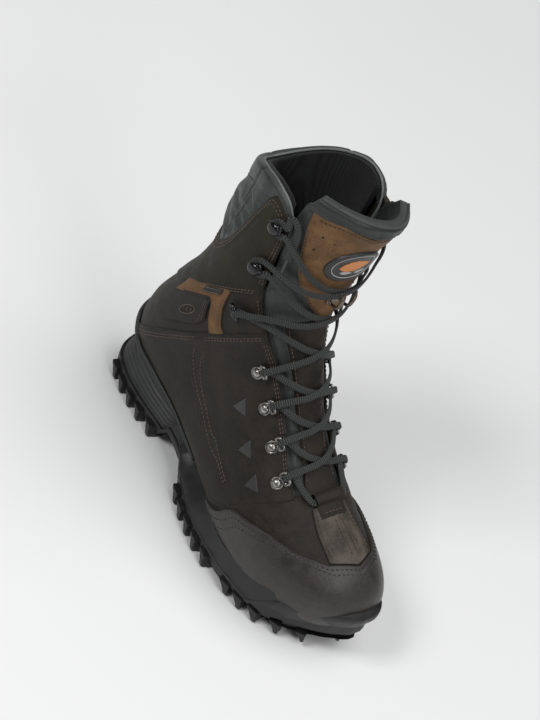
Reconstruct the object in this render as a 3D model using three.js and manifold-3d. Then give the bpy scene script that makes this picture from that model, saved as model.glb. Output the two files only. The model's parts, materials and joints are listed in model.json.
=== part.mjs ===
// Insulated lace-up hunting boot, right foot. Millimetres, +X toe, +Y inner side, +Z up.
import * as THREE from "three";
import Module from "manifold-3d";

const wasm = await Module();
wasm.setup();

// Overall sizes
const SOLE_LENGTH = 312;
const SHAFT_HEIGHT = 297;
const BALL_WIDTH = 112;

// Upper layers, measured outwards from the outer face of the upper leather
const LEATHER = 2.2;
const FIT = 0.3;
const OVER_FIT = 0.6;
const STIFF_FIT = 1.3;
const BED_FIT = 1.2;
const OVERLAY = 1.5;
const RAND = 2.1;
const STIFFENER = 1.2;
const LINER = 4.2;
const FOOTBED = 4.0;
const SHANK = 1.1;
const BOARD = 2.0;
const PATCH = 1.3;

// Sole
const LUG_HEIGHT = 6.5;
const TREAD_BASE = 7;
const SOLE_INSET = 3.2;
const FLEX_X = 213;
const FLEX_GAP = 0.4;

// Lacing
const LACE_WIDTH = 5.2;
const LACE_THICK = 2.0;
const AGLET_RADIUS = 1.4;
const AGLET_LENGTH = 17;
const RING_WIRE = 1.1;
const RING_SPAN = 9.4;
const RING_REACH = 9;
const WASHER_RADIUS = 5;
const RIVET_RADIUS = 3.1;
const HOOK_WIDTH = 5;
const HOOK_PLATE = 1.2;
const LOOP_WIRE = 1.4;
const CROSS_LOW = 1.7;
const CROSS_RISE = 2.7;

const SX = SOLE_LENGTH / 312;
const SY = BALL_WIDTH / 112;
const SZ = SHAFT_HEIGHT / 297;
const RAD = Math.PI / 180;

// Sections of the foot and leg form, toe to collar: instep x, z; underside x, z;
// outer and inner half width; instep y; underside y; share of height above the widest line;
// roundness of the upper and of the lower half.
const SECTIONS = [
  [303, 46, 303, 44, 1, 1, 8, 9, 0.5, 1, 1],
  [301.5, 57, 300.5, 33, 14, 12, 7, 9, 0.5, 0.95, 0.8],
  [296, 67, 295, 28, 26, 21, 5, 8, 0.52, 0.92, 0.65],
  [285, 76, 284, 25, 37, 29, 3, 6, 0.55, 0.92, 0.55],
  [268, 83, 266, 24, 45, 36, 2, 3, 0.6, 0.92, 0.5],
  [246, 89, 242, 24, 51, 42, 1, 0, 0.64, 0.92, 0.48],
  [225, 98, 214, 25, 53, 44, 1, -2, 0.66, 0.92, 0.48],
  [207, 110, 184, 27, 51, 42, 1, -3, 0.66, 0.92, 0.5],
  [192, 124, 153, 29, 46, 39, 1, -3, 0.62, 0.92, 0.52],
  [179, 139, 120, 31, 41, 37, 0, -2, 0.56, 0.92, 0.55],
  [167, 155, 86, 33, 38, 37, 0, 0, 0.5, 0.92, 0.58],
  [157, 171, 50, 35, 37, 37, 0, 0, 0.46, 0.92, 0.6],
  [150, 187, 20, 40, 39, 38, 0, 0, 0.45, 0.92, 0.66],
  [146, 203, 7, 58, 41, 40, 0, 0, 0.46, 0.92, 0.8],
  [144, 219, 7, 88, 43, 42, 0, 0, 0.48, 0.92, 0.95],
  [143, 235, 19, 125, 44, 43, 0, 0, 0.5, 0.92, 1.1],
  [143, 251, 30, 165, 45, 44, 0, 0, 0.5, 0.92, 1.15],
  [144, 267, 34, 205, 46, 45, 0, 0, 0.5, 0.92, 1.15],
  [147, 283, 34, 245, 47, 46, 0, 0, 0.5, 0.92, 1.15],
  [151, 297, 31, 283, 48, 47, 0, 0, 0.5, 0.92, 1.15],
  [156, 311, 27, 321, 49, 48, 0, 0, 0.5, 0.92, 1.15],
];
const LAST = SECTIONS.length - 1;

const X_SECTIONS = SECTIONS.map((row) => [
  row[0] * SX, row[1] * SZ, row[2] * SX, row[3] * SZ, row[4] * SY, row[5] * SY,
  row[6] * SY, row[7] * SY, row[8], row[9], row[10],
]);

// Linear table lookup over [key, value] pairs
function table(pairs, key) {
  if (key <= pairs[0][0]) {
    return pairs[0][1];
  }
  for (let i = 1; i < pairs.length; i += 1) {
    if (key <= pairs[i][0]) {
      const share = (key - pairs[i - 1][0]) / (pairs[i][0] - pairs[i - 1][0]);
      return pairs[i - 1][1] + share * (pairs[i][1] - pairs[i - 1][1]);
    }
  }
  return pairs[pairs.length - 1][1];
}

function section(t) {
  const at = Math.min(Math.max(t, 0), LAST);
  const i = Math.min(Math.floor(at), LAST - 1);
  const f = at - i;
  const p1 = X_SECTIONS[i];
  const p2 = X_SECTIONS[i + 1];
  return p1.map((b, k) => {
    const c = p2[k];
    const a = i > 0 ? X_SECTIONS[i - 1][k] : 2 * b - c;
    const d = i < LAST - 1 ? X_SECTIONS[i + 2][k] : 2 * c - b;
    return b + 0.5 * f * (c - a + f * (2 * a - 5 * b + 4 * c - d + f * (3 * (b - c) + d - a)));
  });
}

// Point of the form at section t and angle th in degrees: 0 instep, 180 underside or back,
// negative on the outer side of the foot.
function form(t, th) {
  const [ix, iz, ux, uz, wOut, wIn, iy, uy, split, roundUp, roundDown] = section(t);
  const a = Math.abs(th) * RAD;
  const c = Math.cos(a);
  const s = Math.max(Math.sin(a), 0);
  const upper = a < Math.PI / 2;
  const k = upper ? split * (1 - Math.abs(c) ** roundUp) : split + (1 - split) * Math.abs(c) ** roundDown;
  const wide = s ** (upper ? roundUp : roundDown) * (th < 0 ? wOut : wIn);
  const side = th < 0 ? -wide : wide;
  return new THREE.Vector3(ix + (ux - ix) * k, iy + (uy - iy) * k + side, iz + (uz - iz) * k);
}

function wrap(th) {
  return th > 180 ? th - 360 : th < -180 ? th + 360 : th;
}

function outward(t, th) {
  const dt = 0.02;
  const da = 1.5;
  const low = Math.max(t - dt, 0.02);
  const along = form(Math.min(t + dt, LAST), wrap(th)).sub(form(low, wrap(th)));
  const around = form(t, wrap(th + da)).sub(form(t, wrap(th - da)));
  return around.cross(along).normalize();
}

function on(t, th, lift) {
  const angle = wrap(th);
  return form(t, angle).addScaledVector(outward(t, angle), lift);
}

const group = new THREE.Group();
group.name = "hunting_boot";

function add(name, geometry, color, roughness, metalness) {
  const material = new THREE.MeshStandardMaterial({ color, roughness, metalness });
  const mesh = new THREE.Mesh(geometry, material);
  mesh.name = name;
  group.add(mesh);
}

function geometryOf(points, faces) {
  const geometry = new THREE.BufferGeometry();
  const flat = points.flatMap((p) => [p.x, p.y, p.z]);
  geometry.setAttribute("position", new THREE.Float32BufferAttribute(flat, 3));
  geometry.setIndex(faces.flat());
  geometry.computeVertexNormals();
  return geometry;
}

// Positive volume means that the faces point out
function faceOut(points, faces) {
  let volume = 0;
  for (const [a, b, c] of faces) {
    volume += points[a].dot(points[b].clone().cross(points[c]));
  }
  return volume < 0 ? faces.map(([a, b, c]) => [a, c, b]) : faces;
}

// Closed slab between two matching grids; outer(u, v) and inner(u, v) take 0..1
function slab(outer, inner, nu, nv) {
  const points = [];
  for (const surface of [outer, inner]) {
    for (let i = 0; i <= nu; i += 1) {
      for (let j = 0; j <= nv; j += 1) {
        points.push(surface(i / nu, j / nv));
      }
    }
  }
  const row = nv + 1;
  const sheet = (nu + 1) * row;
  const faces = [];
  const quad = (a, b, c, d) => {
    faces.push([a, b, c], [a, c, d]);
  };
  for (let i = 0; i < nu; i += 1) {
    for (let j = 0; j < nv; j += 1) {
      const k = i * row + j;
      quad(k, k + 1, k + row + 1, k + row);
      quad(sheet + k, sheet + k + row, sheet + k + row + 1, sheet + k + 1);
    }
  }
  for (let j = 0; j < nv; j += 1) {
    const end = nu * row + j;
    quad(j, sheet + j, sheet + j + 1, j + 1);
    quad(end, end + 1, sheet + end + 1, sheet + end);
  }
  for (let i = 0; i < nu; i += 1) {
    const left = i * row;
    const right = left + nv;
    quad(left, left + row, sheet + left + row, sheet + left);
    quad(right, sheet + right, sheet + right + row, right + row);
  }
  return geometryOf(points, faceOut(points, faces));
}

// Panel of the upper: place(u, v) gives [section, angle]; lifts are numbers or functions of them
function panel(place, low, high, nu, nv) {
  const lift = (value, t, th) => (typeof value === "function" ? value(t, th) : value);
  const face = (value) => (u, v) => {
    const [t, th] = place(u, v);
    return on(t, th, lift(value, t, th));
  };
  return slab(face(high), face(low), nu, nv);
}

// Closed tube over stations, each a ring of points of the same count
function loft(rings) {
  const n = rings[0].length;
  const points = rings.flat();
  const faces = [];
  for (let i = 0; i < rings.length - 1; i += 1) {
    for (let j = 0; j < n; j += 1) {
      const a = i * n + j;
      const b = i * n + ((j + 1) % n);
      faces.push([a, b, b + n], [a, b + n, a + n]);
    }
  }
  const end = (rings.length - 1) * n;
  for (let j = 1; j < n - 1; j += 1) {
    faces.push([0, j + 1, j], [end, end + j, end + j + 1]);
  }
  return geometryOf(points, faceOut(points, faces));
}

function solidOf(geometry) {
  const position = geometry.getAttribute("position");
  const mesh = new wasm.Mesh({
    numProp: 3,
    vertProperties: new Float32Array(position.array),
    triVerts: new Uint32Array(geometry.getIndex().array),
  });
  mesh.merge();
  return new wasm.Manifold(mesh);
}

function geometryFrom(solid) {
  const mesh = solid.getMesh();
  const geometry = new THREE.BufferGeometry();
  const count = mesh.vertProperties.length / mesh.numProp;
  const flat = [];
  for (let i = 0; i < count; i += 1) {
    flat.push(...mesh.vertProperties.slice(i * mesh.numProp, i * mesh.numProp + 3));
  }
  geometry.setAttribute("position", new THREE.Float32BufferAttribute(flat, 3));
  geometry.setIndex(Array.from(mesh.triVerts));
  geometry.computeVertexNormals();
  return geometry;
}

function block(x0, x1, y0, y1, z0, z1) {
  return wasm.Manifold.cube([x1 - x0, y1 - y0, z1 - z0]).translate([x0, y0, z0]);
}

function largest(solid) {
  return solid.decompose().sort((a, b) => b.volume() - a.volume())[0];
}

// ---------------------------------------------------------------- sole

// Plan of the sole at its rim: x, outer y, inner y
const PLAN = [
  [0.5, -3, 3], [4, -13, 13], [11, -22, 22], [22, -28, 28.5], [40, -32, 33], [62, -33, 35], [88, -32, 34],
  [112, -34.5, 34], [134, -42, 36], [158, -50.5, 41], [182, -55.5, 47], [213, -57, 49], [240, -54, 48],
  [262, -48, 44.5], [280, -38, 38.5], [293, -27, 32.5], [303, -15, 26], [309, -5, 19], [311.5, 2, 13],
];

// How far the tread draws in below the rim, towards the toe
const undercut = (x) => table([[215, 0], [250, 3], [285, 8], [312, 10]], x);
const PLAN_ROWS = 30;

function planAt(share, inset) {
  const spot = share * (PLAN.length - 1);
  const i = Math.min(Math.floor(spot), PLAN.length - 2);
  const f = spot - i;
  const a = PLAN[Math.max(i - 1, 0)];
  const b = PLAN[i];
  const c = PLAN[i + 1];
  const d = PLAN[Math.min(i + 2, PLAN.length - 1)];
  const mix = (k) =>
    b[k] + 0.5 * f * (c[k] - a[k] + f * (2 * a[k] - 5 * b[k] + 4 * c[k] - d[k] + f * (3 * (b[k] - c[k]) + d[k] - a[k])));
  const middle = SOLE_LENGTH / 2;
  const x = mix(0) * SX;
  const drawn = typeof inset === "function" ? inset(mix(0)) : inset;
  const squeeze = 1 - drawn / middle;
  const centre = (mix(1) + mix(2)) / 2;
  const half = (mix(2) - mix(1)) / 2 * SY;
  const kept = Math.max(half - drawn, half * 0.35);
  return { x: middle + (x - middle) * squeeze, out: centre * SY - kept, inn: centre * SY + kept };
}

// Solid between two height functions of x over the inset plan
function planSolid(insets, heights) {
  const points = [];
  const faces = [];
  const levels = insets.length;
  const ring = 2 * (PLAN_ROWS + 1);
  for (let level = 0; level < levels; level += 1) {
    for (let side = 0; side < 2; side += 1) {
      for (let i = 0; i <= PLAN_ROWS; i += 1) {
        const at = planAt((side ? PLAN_ROWS - i : i) / PLAN_ROWS, insets[level]);
        points.push(new THREE.Vector3(at.x, side ? at.inn : at.out, heights[level](at.x / SX)));
      }
    }
  }
  for (let level = 0; level < levels - 1; level += 1) {
    for (let j = 0; j < ring; j += 1) {
      const a = level * ring + j;
      const b = level * ring + ((j + 1) % ring);
      faces.push([a, b, b + ring], [a, b + ring, a + ring]);
    }
  }
  const top = (levels - 1) * ring;
  for (let i = 0; i < PLAN_ROWS; i += 1) {
    const far = ring - 1 - i;
    faces.push([i, far, i + 1], [i + 1, far, far - 1]);
    faces.push([top + i, top + i + 1, top + far], [top + i + 1, top + far - 1, top + far]);
  }
  return solidOf(geometryOf(points, faceOut(points, faces)));
}

// Underside of the tread: heel block, raised arch, forefoot, toe spring
const groundLine = (x) => table([[0, 5], [10, 0], [88, 0], [96, 12], [122, 12], [136, 0], [262, 0], [285, 4], [308, 13]], x);
const treadLine = (x) => groundLine(x) + LUG_HEIGHT;
const midsoleFloor = (x) => Math.max(table([[0, 17], [88, 16], [110, 20], [140, 16], [262, 15], [308, 26]], x),
  treadLine(x) + TREAD_BASE);
const rimLine = (x) => SZ * table([[0, 42], [30, 39], [70, 34], [110, 32], [139, 31], [169, 30], [200, 31], [225, 34],
  [249, 38], [270, 42], [290, 47], [308, 51]], x);
const bumperLine = (x) => Math.max(midsoleFloor(x) - FIT,
  SZ * table([[240, 10], [256, 26], [272, 40], [290, 47.5], [308, 52]], x));

// Room for the lasted upper: the rand is thicker than the bare leather behind it
const seat = (t) => (t < 7.9 ? OVER_FIT + RAND + 0.8 : OVER_FIT);

const LASTED = 150;

function seatSolid() {
  const rings = [];
  for (let i = 0; i <= 16; i += 1) {
    const t = 0.12 + (i / 16) * 14.3;
    const ring = [];
    for (let j = 0; j < 36; j += 1) {
      const th = -180 + j * 10;
      const pad = Math.abs(th) > LASTED ? OVER_FIT : seat(t);
      ring.push(on(t, th, pad));
    }
    rings.push(ring);
  }
  return solidOf(loft(rings));
}

const upperSeat = seatSolid();
const midsoleBody = planSolid([SOLE_INSET, SOLE_INSET + 0.2, SOLE_INSET + 1.2],
  [midsoleFloor, (x) => (midsoleFloor(x) + rimLine(x)) / 2, rimLine]);
const midsoleSpace = planSolid([SOLE_INSET - FIT, SOLE_INSET - 0.1, SOLE_INSET + 0.9],
  [(x) => midsoleFloor(x) - FIT, (x) => (midsoleFloor(x) + rimLine(x)) / 2, (x) => rimLine(x) + 12]);
const shell = midsoleBody.subtract(upperSeat);
const WIDE = 200;
const behind = block(-WIDE, FLEX_X * SX - FLEX_GAP / 2, -WIDE, WIDE, -WIDE, 2 * WIDE);
const ahead = block(FLEX_X * SX + FLEX_GAP / 2, 3 * WIDE, -WIDE, WIDE, -WIDE, 2 * WIDE);
add("midsole_rear", geometryFrom(largest(shell.intersect(behind))), 0x2b2b2a, 0.8, 0);
add("midsole_forefoot", geometryFrom(largest(shell.intersect(ahead))), 0x2b2b2a, 0.8, 0);

// One cleat: a wedge that narrows downwards, pointing in from the edge of the tread
function cleat(x, y, turn, long, wide) {
  const top = treadLine(x) + 1.5;
  const low = groundLine(x);
  const foot = (dx, dy, share) => {
    const px = dx * share;
    const py = dy * share;
    const cosine = Math.cos(turn);
    const sine = Math.sin(turn);
    return [x * SX + px * cosine - py * sine, y * SY + px * sine + py * cosine];
  };
  const corners = [[-long / 2, -wide / 2], [long / 2, -wide / 2], [long / 2, wide / 2], [-long / 2, wide / 2]];
  const rings = [[low, 0.84], [top, 1]].map(([z, share]) =>
    corners.map(([dx, dy]) => {
      const [px, py] = foot(dx, dy, share);
      return new THREE.Vector3(px, py, z);
    }));
  return solidOf(loft(rings));
}

const cleats = [];
for (const side of [-1, 1]) {
  const edge = (x) => table(PLAN.map((row) => [row[0], row[side < 0 ? 1 : 2]]), x) - side * undercut(x);
  for (const x of [22, 36, 50, 64, 80]) {
    cleats.push(cleat(x, edge(x) - side * 5, side * 0.2, 8, 13));
  }
  for (const x of [144, 158, 172, 186, 201, 226, 240, 254]) {
    cleats.push(cleat(x, edge(x) - side * 6, side * 0.25 * Math.sign(205 - x), 9, 15));
  }
  for (const x of [150, 168, 186, 228, 246]) {
    cleats.push(cleat(x, -3 + side * 13, side * 0.6, 8, 13));
  }
  cleats.push(cleat(269, edge(269) - side * 6, side * -0.5, 9, 14));
  cleats.push(cleat(284, edge(284) - side * 6, side * -0.8, 8, 12));
  cleats.push(cleat(297, 8 + side * 6, side * -1.1, 7, 9));
  cleats.push(cleat(13, side * 12, side * 0.9, 7, 11));
}
cleats.push(cleat(45, 0, 0.7, 11, 11), cleat(68, 0, 0.7, 11, 11), cleat(268, 2, 0, 9, 13));

const treadShell = planSolid([(x) => 1.4 + undercut(x), (x) => undercut(x) * 0.8, 0, 1.6],
  [treadLine, (x) => treadLine(x) + 3, (x) => Math.max(treadLine(x) + TREAD_BASE - FIT - 0.5, (treadLine(x) + bumperLine(x)) / 2),
    bumperLine]).subtract(midsoleSpace).subtract(upperSeat);
const tread = cleats.reduce((whole, one) => whole.add(one), largest(treadShell));
add("outsole_rear", geometryFrom(largest(tread.intersect(behind))), 0x1b1b1b, 0.75, 0);
add("outsole_forefoot", geometryFrom(largest(tread.intersect(ahead))), 0x1b1b1b, 0.75, 0);

// ---------------------------------------------------------------- upper, seams as [section, angle]

const FACING = [[6.2, 27], [8, 28], [9.5, 32], [11, 38], [13, 48], [15, 60], [16.5, 66], [19, 71], [20, 73]];
const SIDE_SEAM = [[6.9, 84], [7.75, 88], [9.1, 94], [10.55, 96], [12.2, 92], [12.6, 88]];
const VAMP_REAR = [[0, 6.15], [27, 6.15], [39, 6.25], [67, 6.75], [86, 7.05], [123, 7.6], [150, 7.8]];
const RAND_TOP = [[0, 3.3], [31, 3.8], [47, 4.6], [59, 5.55], [82, 6.85], [123, 7.55], [150, 7.65]];
const PAD_SEAM = [[15.1, 107], [16.55, 124], [18, 112], [19.6, 96]];
const RIM = [[60, 18.9], [72, 19], [85, 19.3], [104, 19.4], [125, 19.15], [150, 18.75], [165, 18.55], [180, 18.45]];
const ANKLE_LOW = 12.55;
const ANKLE_HIGH = 15.05;
const PATCH_COLUMNS = [[0, 78.5], [3, 86], [4, 88], [9, 120]];
const ARC = 0.45;
const GUSSET_OUT = -LEATHER - 0.5;
const GUSSET_IN = GUSSET_OUT - 1;
const STEP = 0.03;

const PUFF_OUT = -LEATHER - STIFF_FIT;
const PUFF_IN = PUFF_OUT - STIFFENER;
const between = (low, high, share) => low + (high - low) * share;
const facing = (t) => table(FACING, t);
const rim = (th) => table(RIM, Math.abs(th));
const lastedAt = (t) => table([[11, LASTED], [12, 162], [12.35, 179.6]], t);

add("vamp", panel((u, v) => {
  const th = between(-LASTED, LASTED, v);
  return [between(0.2, table(VAMP_REAR, Math.abs(th)) - STEP, u), th];
}, -LEATHER, 0, 10, 24), 0x2d2520, 0.75, 0);

add("toe_rand", panel((u, v) => {
  const th = between(-LASTED, LASTED, between(1 / 12, 11 / 12, v));
  return [between(0.2, table(RAND_TOP, Math.abs(th)), u), th];
}, OVER_FIT, OVER_FIT + RAND, 9, 20), 0x211d1b, 0.6, 0);

add("toe_puff", panel((u, v) => [between(0.5, 2.9, u), between(-137.5, 137.5, v)],
  PUFF_IN, PUFF_OUT, 4, 14), 0x8d8676, 0.8, 0);

for (const [side, tag] of [[-1, "lateral"], [1, "medial"]]) {
  add(`quarter_${tag}`, panel((u, v) => {
    const low = (th) => table(VAMP_REAR, th) + STEP;
    const guess = between(6.2, ANKLE_LOW, u);
    const th = between(facing(guess), table(SIDE_SEAM, guess) - ARC, v);
    return [between(low(th), ANKLE_LOW - STEP, u), side * th];
  }, -LEATHER, 0, 10, 6), 0x2f2823, 0.75, 0);
  add(`side_panel_${tag}`, panel((u, v) => {
    const guess = between(7.05, ANKLE_LOW, u);
    const th = between(table(SIDE_SEAM, guess) + ARC, lastedAt(guess), v);
    return [between(table(VAMP_REAR, th) + STEP, ANKLE_LOW - STEP, u), side * th];
  }, -LEATHER, 0, 10, 10), 0x2b2521, 0.75, 0);
  add(`ankle_panel_${tag}`, panel((u, v) => {
    const t = between(ANKLE_LOW + STEP, ANKLE_HIGH - STEP, u);
    return [t, side * between(facing(t), 179.6, v)];
  }, -LEATHER, 0, 5, 12), 0x322a24, 0.75, 0);
  add(`shaft_panel_${tag}`, panel((u, v) => {
    const guess = between(ANKLE_HIGH, 19.3, u);
    const th = between(facing(guess), table(PAD_SEAM, guess) - ARC, v);
    return [between(ANKLE_HIGH + STEP, rim(th), u), side * th];
  }, -LEATHER, 0, 7, 6), 0x3a372b, 0.75, 0);
  add(`tongue_gusset_${tag}`, panel((u, v) => {
    const t = between(6.5, 12.95, u);
    return [t, side * between(facing(t) - 9, facing(t) + 6, v)];
  }, GUSSET_IN, GUSSET_OUT, 9, 2), 0x30352f, 0.7, 0);
  add(`ankle_patch_${tag}`, panel((u, v) => {
    const th = table(PATCH_COLUMNS, 9 * u);
    const leg = 9 * u < 3.5;
    const t = between(leg ? 12.85 : 14.6, 15, v);
    return [t, side * (th - (leg ? (15 - t) * 2.6 : 0))];
  }, OVER_FIT, OVER_FIT + OVERLAY, 9, 4), 0x8a5a32, 0.85, 0);
  add(`ankle_cover_${tag}`, panel((u, v) => [between(13.15, 14.2, u), side * between(89, 109, v)],
    OVER_FIT, OVER_FIT + PATCH, 4, 4), 0x26211d, 0.6, 0);
}

add("collar_pad", panel((u, v) => {
  const guess = between(ANKLE_HIGH, 19.3, u);
  const edge = table(PAD_SEAM, guess) + ARC;
  const th = between(edge, 360 - edge, v);
  return [between(ANKLE_HIGH + STEP, rim(th > 180 ? 360 - th : th), u), th];
}, -LEATHER, (t) => 1.4 * Math.sin(Math.PI * Math.min(Math.max((t - 15.1) / 4, 0), 1)), 7, 14), 0x2c302c, 0.6, 0);

// Moulded heel cup: lower and upper edge, arch to the back of the heel
const CUP_TOP = [[0, 8.7, 135], [0.25, 10, 136], [0.5, 11.2, 137], [0.7, 12.3, 142], [0.85, 13, 154], [1, 13.5, 180]];
const CUP_LOW = [[0, 8.7, 152], [0.25, 10, 156], [0.5, 11.2, 160], [0.7, 11.9, 166], [0.85, 12.15, 173], [1, 12.2, 180]];
const cupCurve = (rows, share) => [1, 2].map((k) => table(rows.map((row) => [row[0], row[k]]), share));

const heelBand = (lower, upper) => (u, v) => {
  const share = 1 - Math.abs(2 * u - 1);
  const [t0, a0] = cupCurve(lower, share);
  const [t1, a1] = cupCurve(upper, share);
  const angle = between(a0, a1, v);
  return [between(t0, t1, v), u < 0.5 ? -angle : u > 0.5 ? angle : 180];
};

const CUP_FIT = 1.15;
const cupBand = panel(heelBand(CUP_LOW, CUP_TOP), CUP_FIT, (t) => CUP_FIT + table([[8.7, 1.6], [11, 2.8], [13.5, 3.2]], t), 20, 3);
const midsoleTop = planSolid([SOLE_INSET - 2, SOLE_INSET - 2], [() => 0, (x) => rimLine(x) + FIT]);
add("heel_stabilizer", geometryFrom(largest(solidOf(cupBand).subtract(midsoleTop))), 0x353534, 0.7, 0);

const COUNTER_TOP = [[0, 10.4, 116], [0.3, 11.6, 118], [0.6, 12.9, 128], [0.8, 13.7, 150], [1, 14, 180]];
const COUNTER_LOW = [[0, 10.4, 144], [0.3, 11, 145], [0.6, 12.1, 150], [0.8, 12.75, 163], [1, 13, 180]];
add("heel_counter", panel(heelBand(COUNTER_LOW, COUNTER_TOP), PUFF_IN, PUFF_OUT, 16, 4), 0x6e675b, 0.8, 0);

const LINER_OUT = PUFF_IN - 0.7;
const LINER_IN = LINER_OUT - LINER;
const LINER_ROWS = [0.3, 1.2, 2.2, 3.4, 4.7, 5.9, 6.25, 7.4, 8.5, 9.6, 10.7, 11.5, 12.1, 12.7, 13.4, 14.2, 15, 16.3, 17.6, 19];
add("liner", panel((u, v) => {
  const guess = LINER_ROWS[Math.round(u * (LINER_ROWS.length - 1))];
  const open = guess < 6.2 ? 1 : facing(guess) + 10;
  const th = between(open, 360 - open, v);
  const top = rim(th > 180 ? 360 - th : th) - 0.1;
  return [guess > 15 ? between(15, top, (guess - 15) / 4) : guess, th];
}, LINER_IN, LINER_OUT, LINER_ROWS.length - 1, 16), 0x55594f, 0.95, 0);

const underfoot = (low, high, t0, t1, edge, nu, nv) => panel((u, v) => {
  const t = between(t0, t1, u);
  return [t, between(edge(t), 360 - edge(t), v)];
}, low, high, nu, nv);
const boardEdge = (t) => lastedAt(t) + 3;
add("insole_board", underfoot(-SHANK - FIT - BOARD, -SHANK - FIT, 1.4, 12, boardEdge, 12, 4), 0x9a8c74, 0.9, 0);
add("shank", underfoot(-SHANK, -0.1, 7.7, 11, () => 174, 6, 2), 0x55585c, 0.4, 0.8);
add("footbed", underfoot(LINER_IN - BED_FIT - FOOTBED, LINER_IN - BED_FIT, 1.5, 11.6, () => 153, 12, 4), 0x3c3f3e, 0.95, 0);

// ---------------------------------------------------------------- tongue

const TONGUE_SPLIT = 13;
const TONGUE_END = 19.35;
const TONGUE_PANEL = -1.4;
const FLAP_FACE = -LEATHER - FIT;
const TONGUE_EDGE = GUSSET_IN - 0.5;
const TONGUE_STEPS = [8, -1, -10.5, -13.5];

// Columns across the lower tongue: edge under the gusset, step, flat middle
function tongueColumn(t, v) {
  const k = Math.round(v * 10);
  const mirror = k > 5 ? 10 - k : k;
  const angle = mirror < 4 ? facing(t) + TONGUE_STEPS[mirror] : mirror === 4 ? (facing(t) - 13.5) / 2 : 0;
  return k > 5 ? angle : -angle;
}
const tongueFace = (t, th) => {
  const raised = Math.abs(th) < facing(t) - 13;
  return raised ? between(TONGUE_PANEL, FLAP_FACE, Math.min(Math.max((t - 11.5) / 1.5, 0), 1)) : TONGUE_EDGE;
};

const BASE_TOP = 7.1;
const tongueBody = solidOf(panel((u, v) => {
  const t = between(6.36, TONGUE_SPLIT - STEP, u);
  return [t, tongueColumn(t, v)];
}, LINER_IN, tongueFace, 12, 10));
const basePatch = solidOf(panel((u, v) => {
  const t = between(6.32, BASE_TOP, u);
  const wide = between(17, 12, u * u);
  return [t, between(-wide, wide, v)];
}, TONGUE_PANEL - 1, TONGUE_PANEL + 1, 4, 6));
add("tongue_lower", geometryFrom(tongueBody.add(basePatch)), 0x2e2722, 0.75, 0);

// The upper tongue leans forward and turns a little towards the inner side
function lean(point, t) {
  const rise = Math.max(t - TONGUE_SPLIT, 0) / (TONGUE_END - TONGUE_SPLIT);
  const turn = 0.16 * rise * rise;
  return new THREE.Vector3(point.x + turn * point.y + 5 * rise * (1 - rise), point.y, point.z - 0.07 * rise * rise * point.y);
}

function leaning(place, low, high, nu, nv) {
  const face = (value) => (u, v) => {
    const [t, th] = place(u, v);
    const lift = typeof value === "function" ? value(t, th) : value;
    return lean(on(t, th, lift), t);
  };
  return slab(face(high), face(low), nu, nv);
}

const PATCH_TOP = 18.7;
const KEEPER_T = 15.1;
const flapWidth = (t) => table([[13, 48], [16, 56], [18, 58], [19.6, 52]], t);
const patchWidth = (t) => table([[13.2, 3], [14, 14], [15, 28], [16, 36], [17.2, 43], [18.7, 49]], t);
add("tongue_upper", leaning((u, v) => {
  const t = between(TONGUE_SPLIT + STEP, PATCH_TOP + 0.06, u);
  return [t, between(-flapWidth(t), flapWidth(t), v)];
}, LINER_IN, FLAP_FACE, 8, 12), 0x2e2722, 0.75, 0);
add("tongue_patch", leaning((u, v) => {
  const t = between(13.2, PATCH_TOP, u);
  return [t, between(-patchWidth(t), patchWidth(t), v)];
}, FLAP_FACE + OVER_FIT, FLAP_FACE + OVER_FIT + PATCH, 8, 8), 0x8f5c31, 0.85, 0);
add("tongue_top_pad", leaning((u, v) => {
  const wide = between(flapWidth(PATCH_TOP), 50, u);
  const th = between(-wide, wide, v);
  const wave = 0.12 * Math.cos(3 * th * RAD);
  return [between(PATCH_TOP + 0.1, TONGUE_END + wave, u), th];
}, LINER_IN, FLAP_FACE + 1.4, 3, 12), 0x2c302c, 0.6, 0);

const patchFace = FLAP_FACE + OVER_FIT + PATCH;
const BADGE_T = 16.75;
const badge = (low, high, shrink) => {
  const face = (lift) => (u, v) => {
    const angle = v * 2 * Math.PI;
    const r = 0.12 + 0.88 * u;
    const t = BADGE_T + 0.95 * shrink * r * Math.sin(angle);
    return lean(on(t, 26 * shrink * r * Math.cos(angle), lift), t);
  };
  const rows = [];
  for (const [r, lift] of [[0, low], [0.45, low], [1, low], [1, high], [0.45, high], [0, high]]) {
    rows.push(Array.from({ length: 20 }, (_, j) => face(lift)(r, j / 20)));
  }
  return loft(rows);
};
add("tongue_badge", badge(patchFace + OVER_FIT, patchFace + OVER_FIT + 1.4, 1), 0x1f1f1f, 0.5, 0);

// ---------------------------------------------------------------- vamp trim

add("vamp_strip", panel((u, v) => {
  const wide = between(25, 17, u);
  const th = between(-wide, wide, v);
  return [between(table(RAND_TOP, Math.abs(th)) + 0.12, 5.5, u), th];
}, OVER_FIT, OVER_FIT + PATCH, 5, 6), 0x3b332c, 0.85, 0);

// Leather tunnel that the lace runs through, across the foot of the tongue
const TAB_T = 5.86;
const TAB_SPAN = 24;
const TAB_WALL = 1.3;
const tabGap = LACE_THICK / 2 + 0.45;
const tabLift = FIT + TAB_WALL + tabGap;
const frameAt = (t, th) => {
  const n = outward(t, wrap(th));
  const centre = form(t, wrap(th));
  const away = form(t, wrap(th + 1)).sub(form(t, wrap(th - 1))).normalize();
  const a = away.multiplyScalar(th < 0 ? 1 : -1);
  a.addScaledVector(n, -a.dot(n)).normalize();
  const b = n.clone().cross(a);
  if (b.z < 0) {
    b.negate();
  }
  return { centre, n, a, b };
};
const localPoint = (f, pa, pb, pn) =>
  f.centre.clone().addScaledVector(f.a, pa).addScaledVector(f.b, pb).addScaledVector(f.n, pn);

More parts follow.
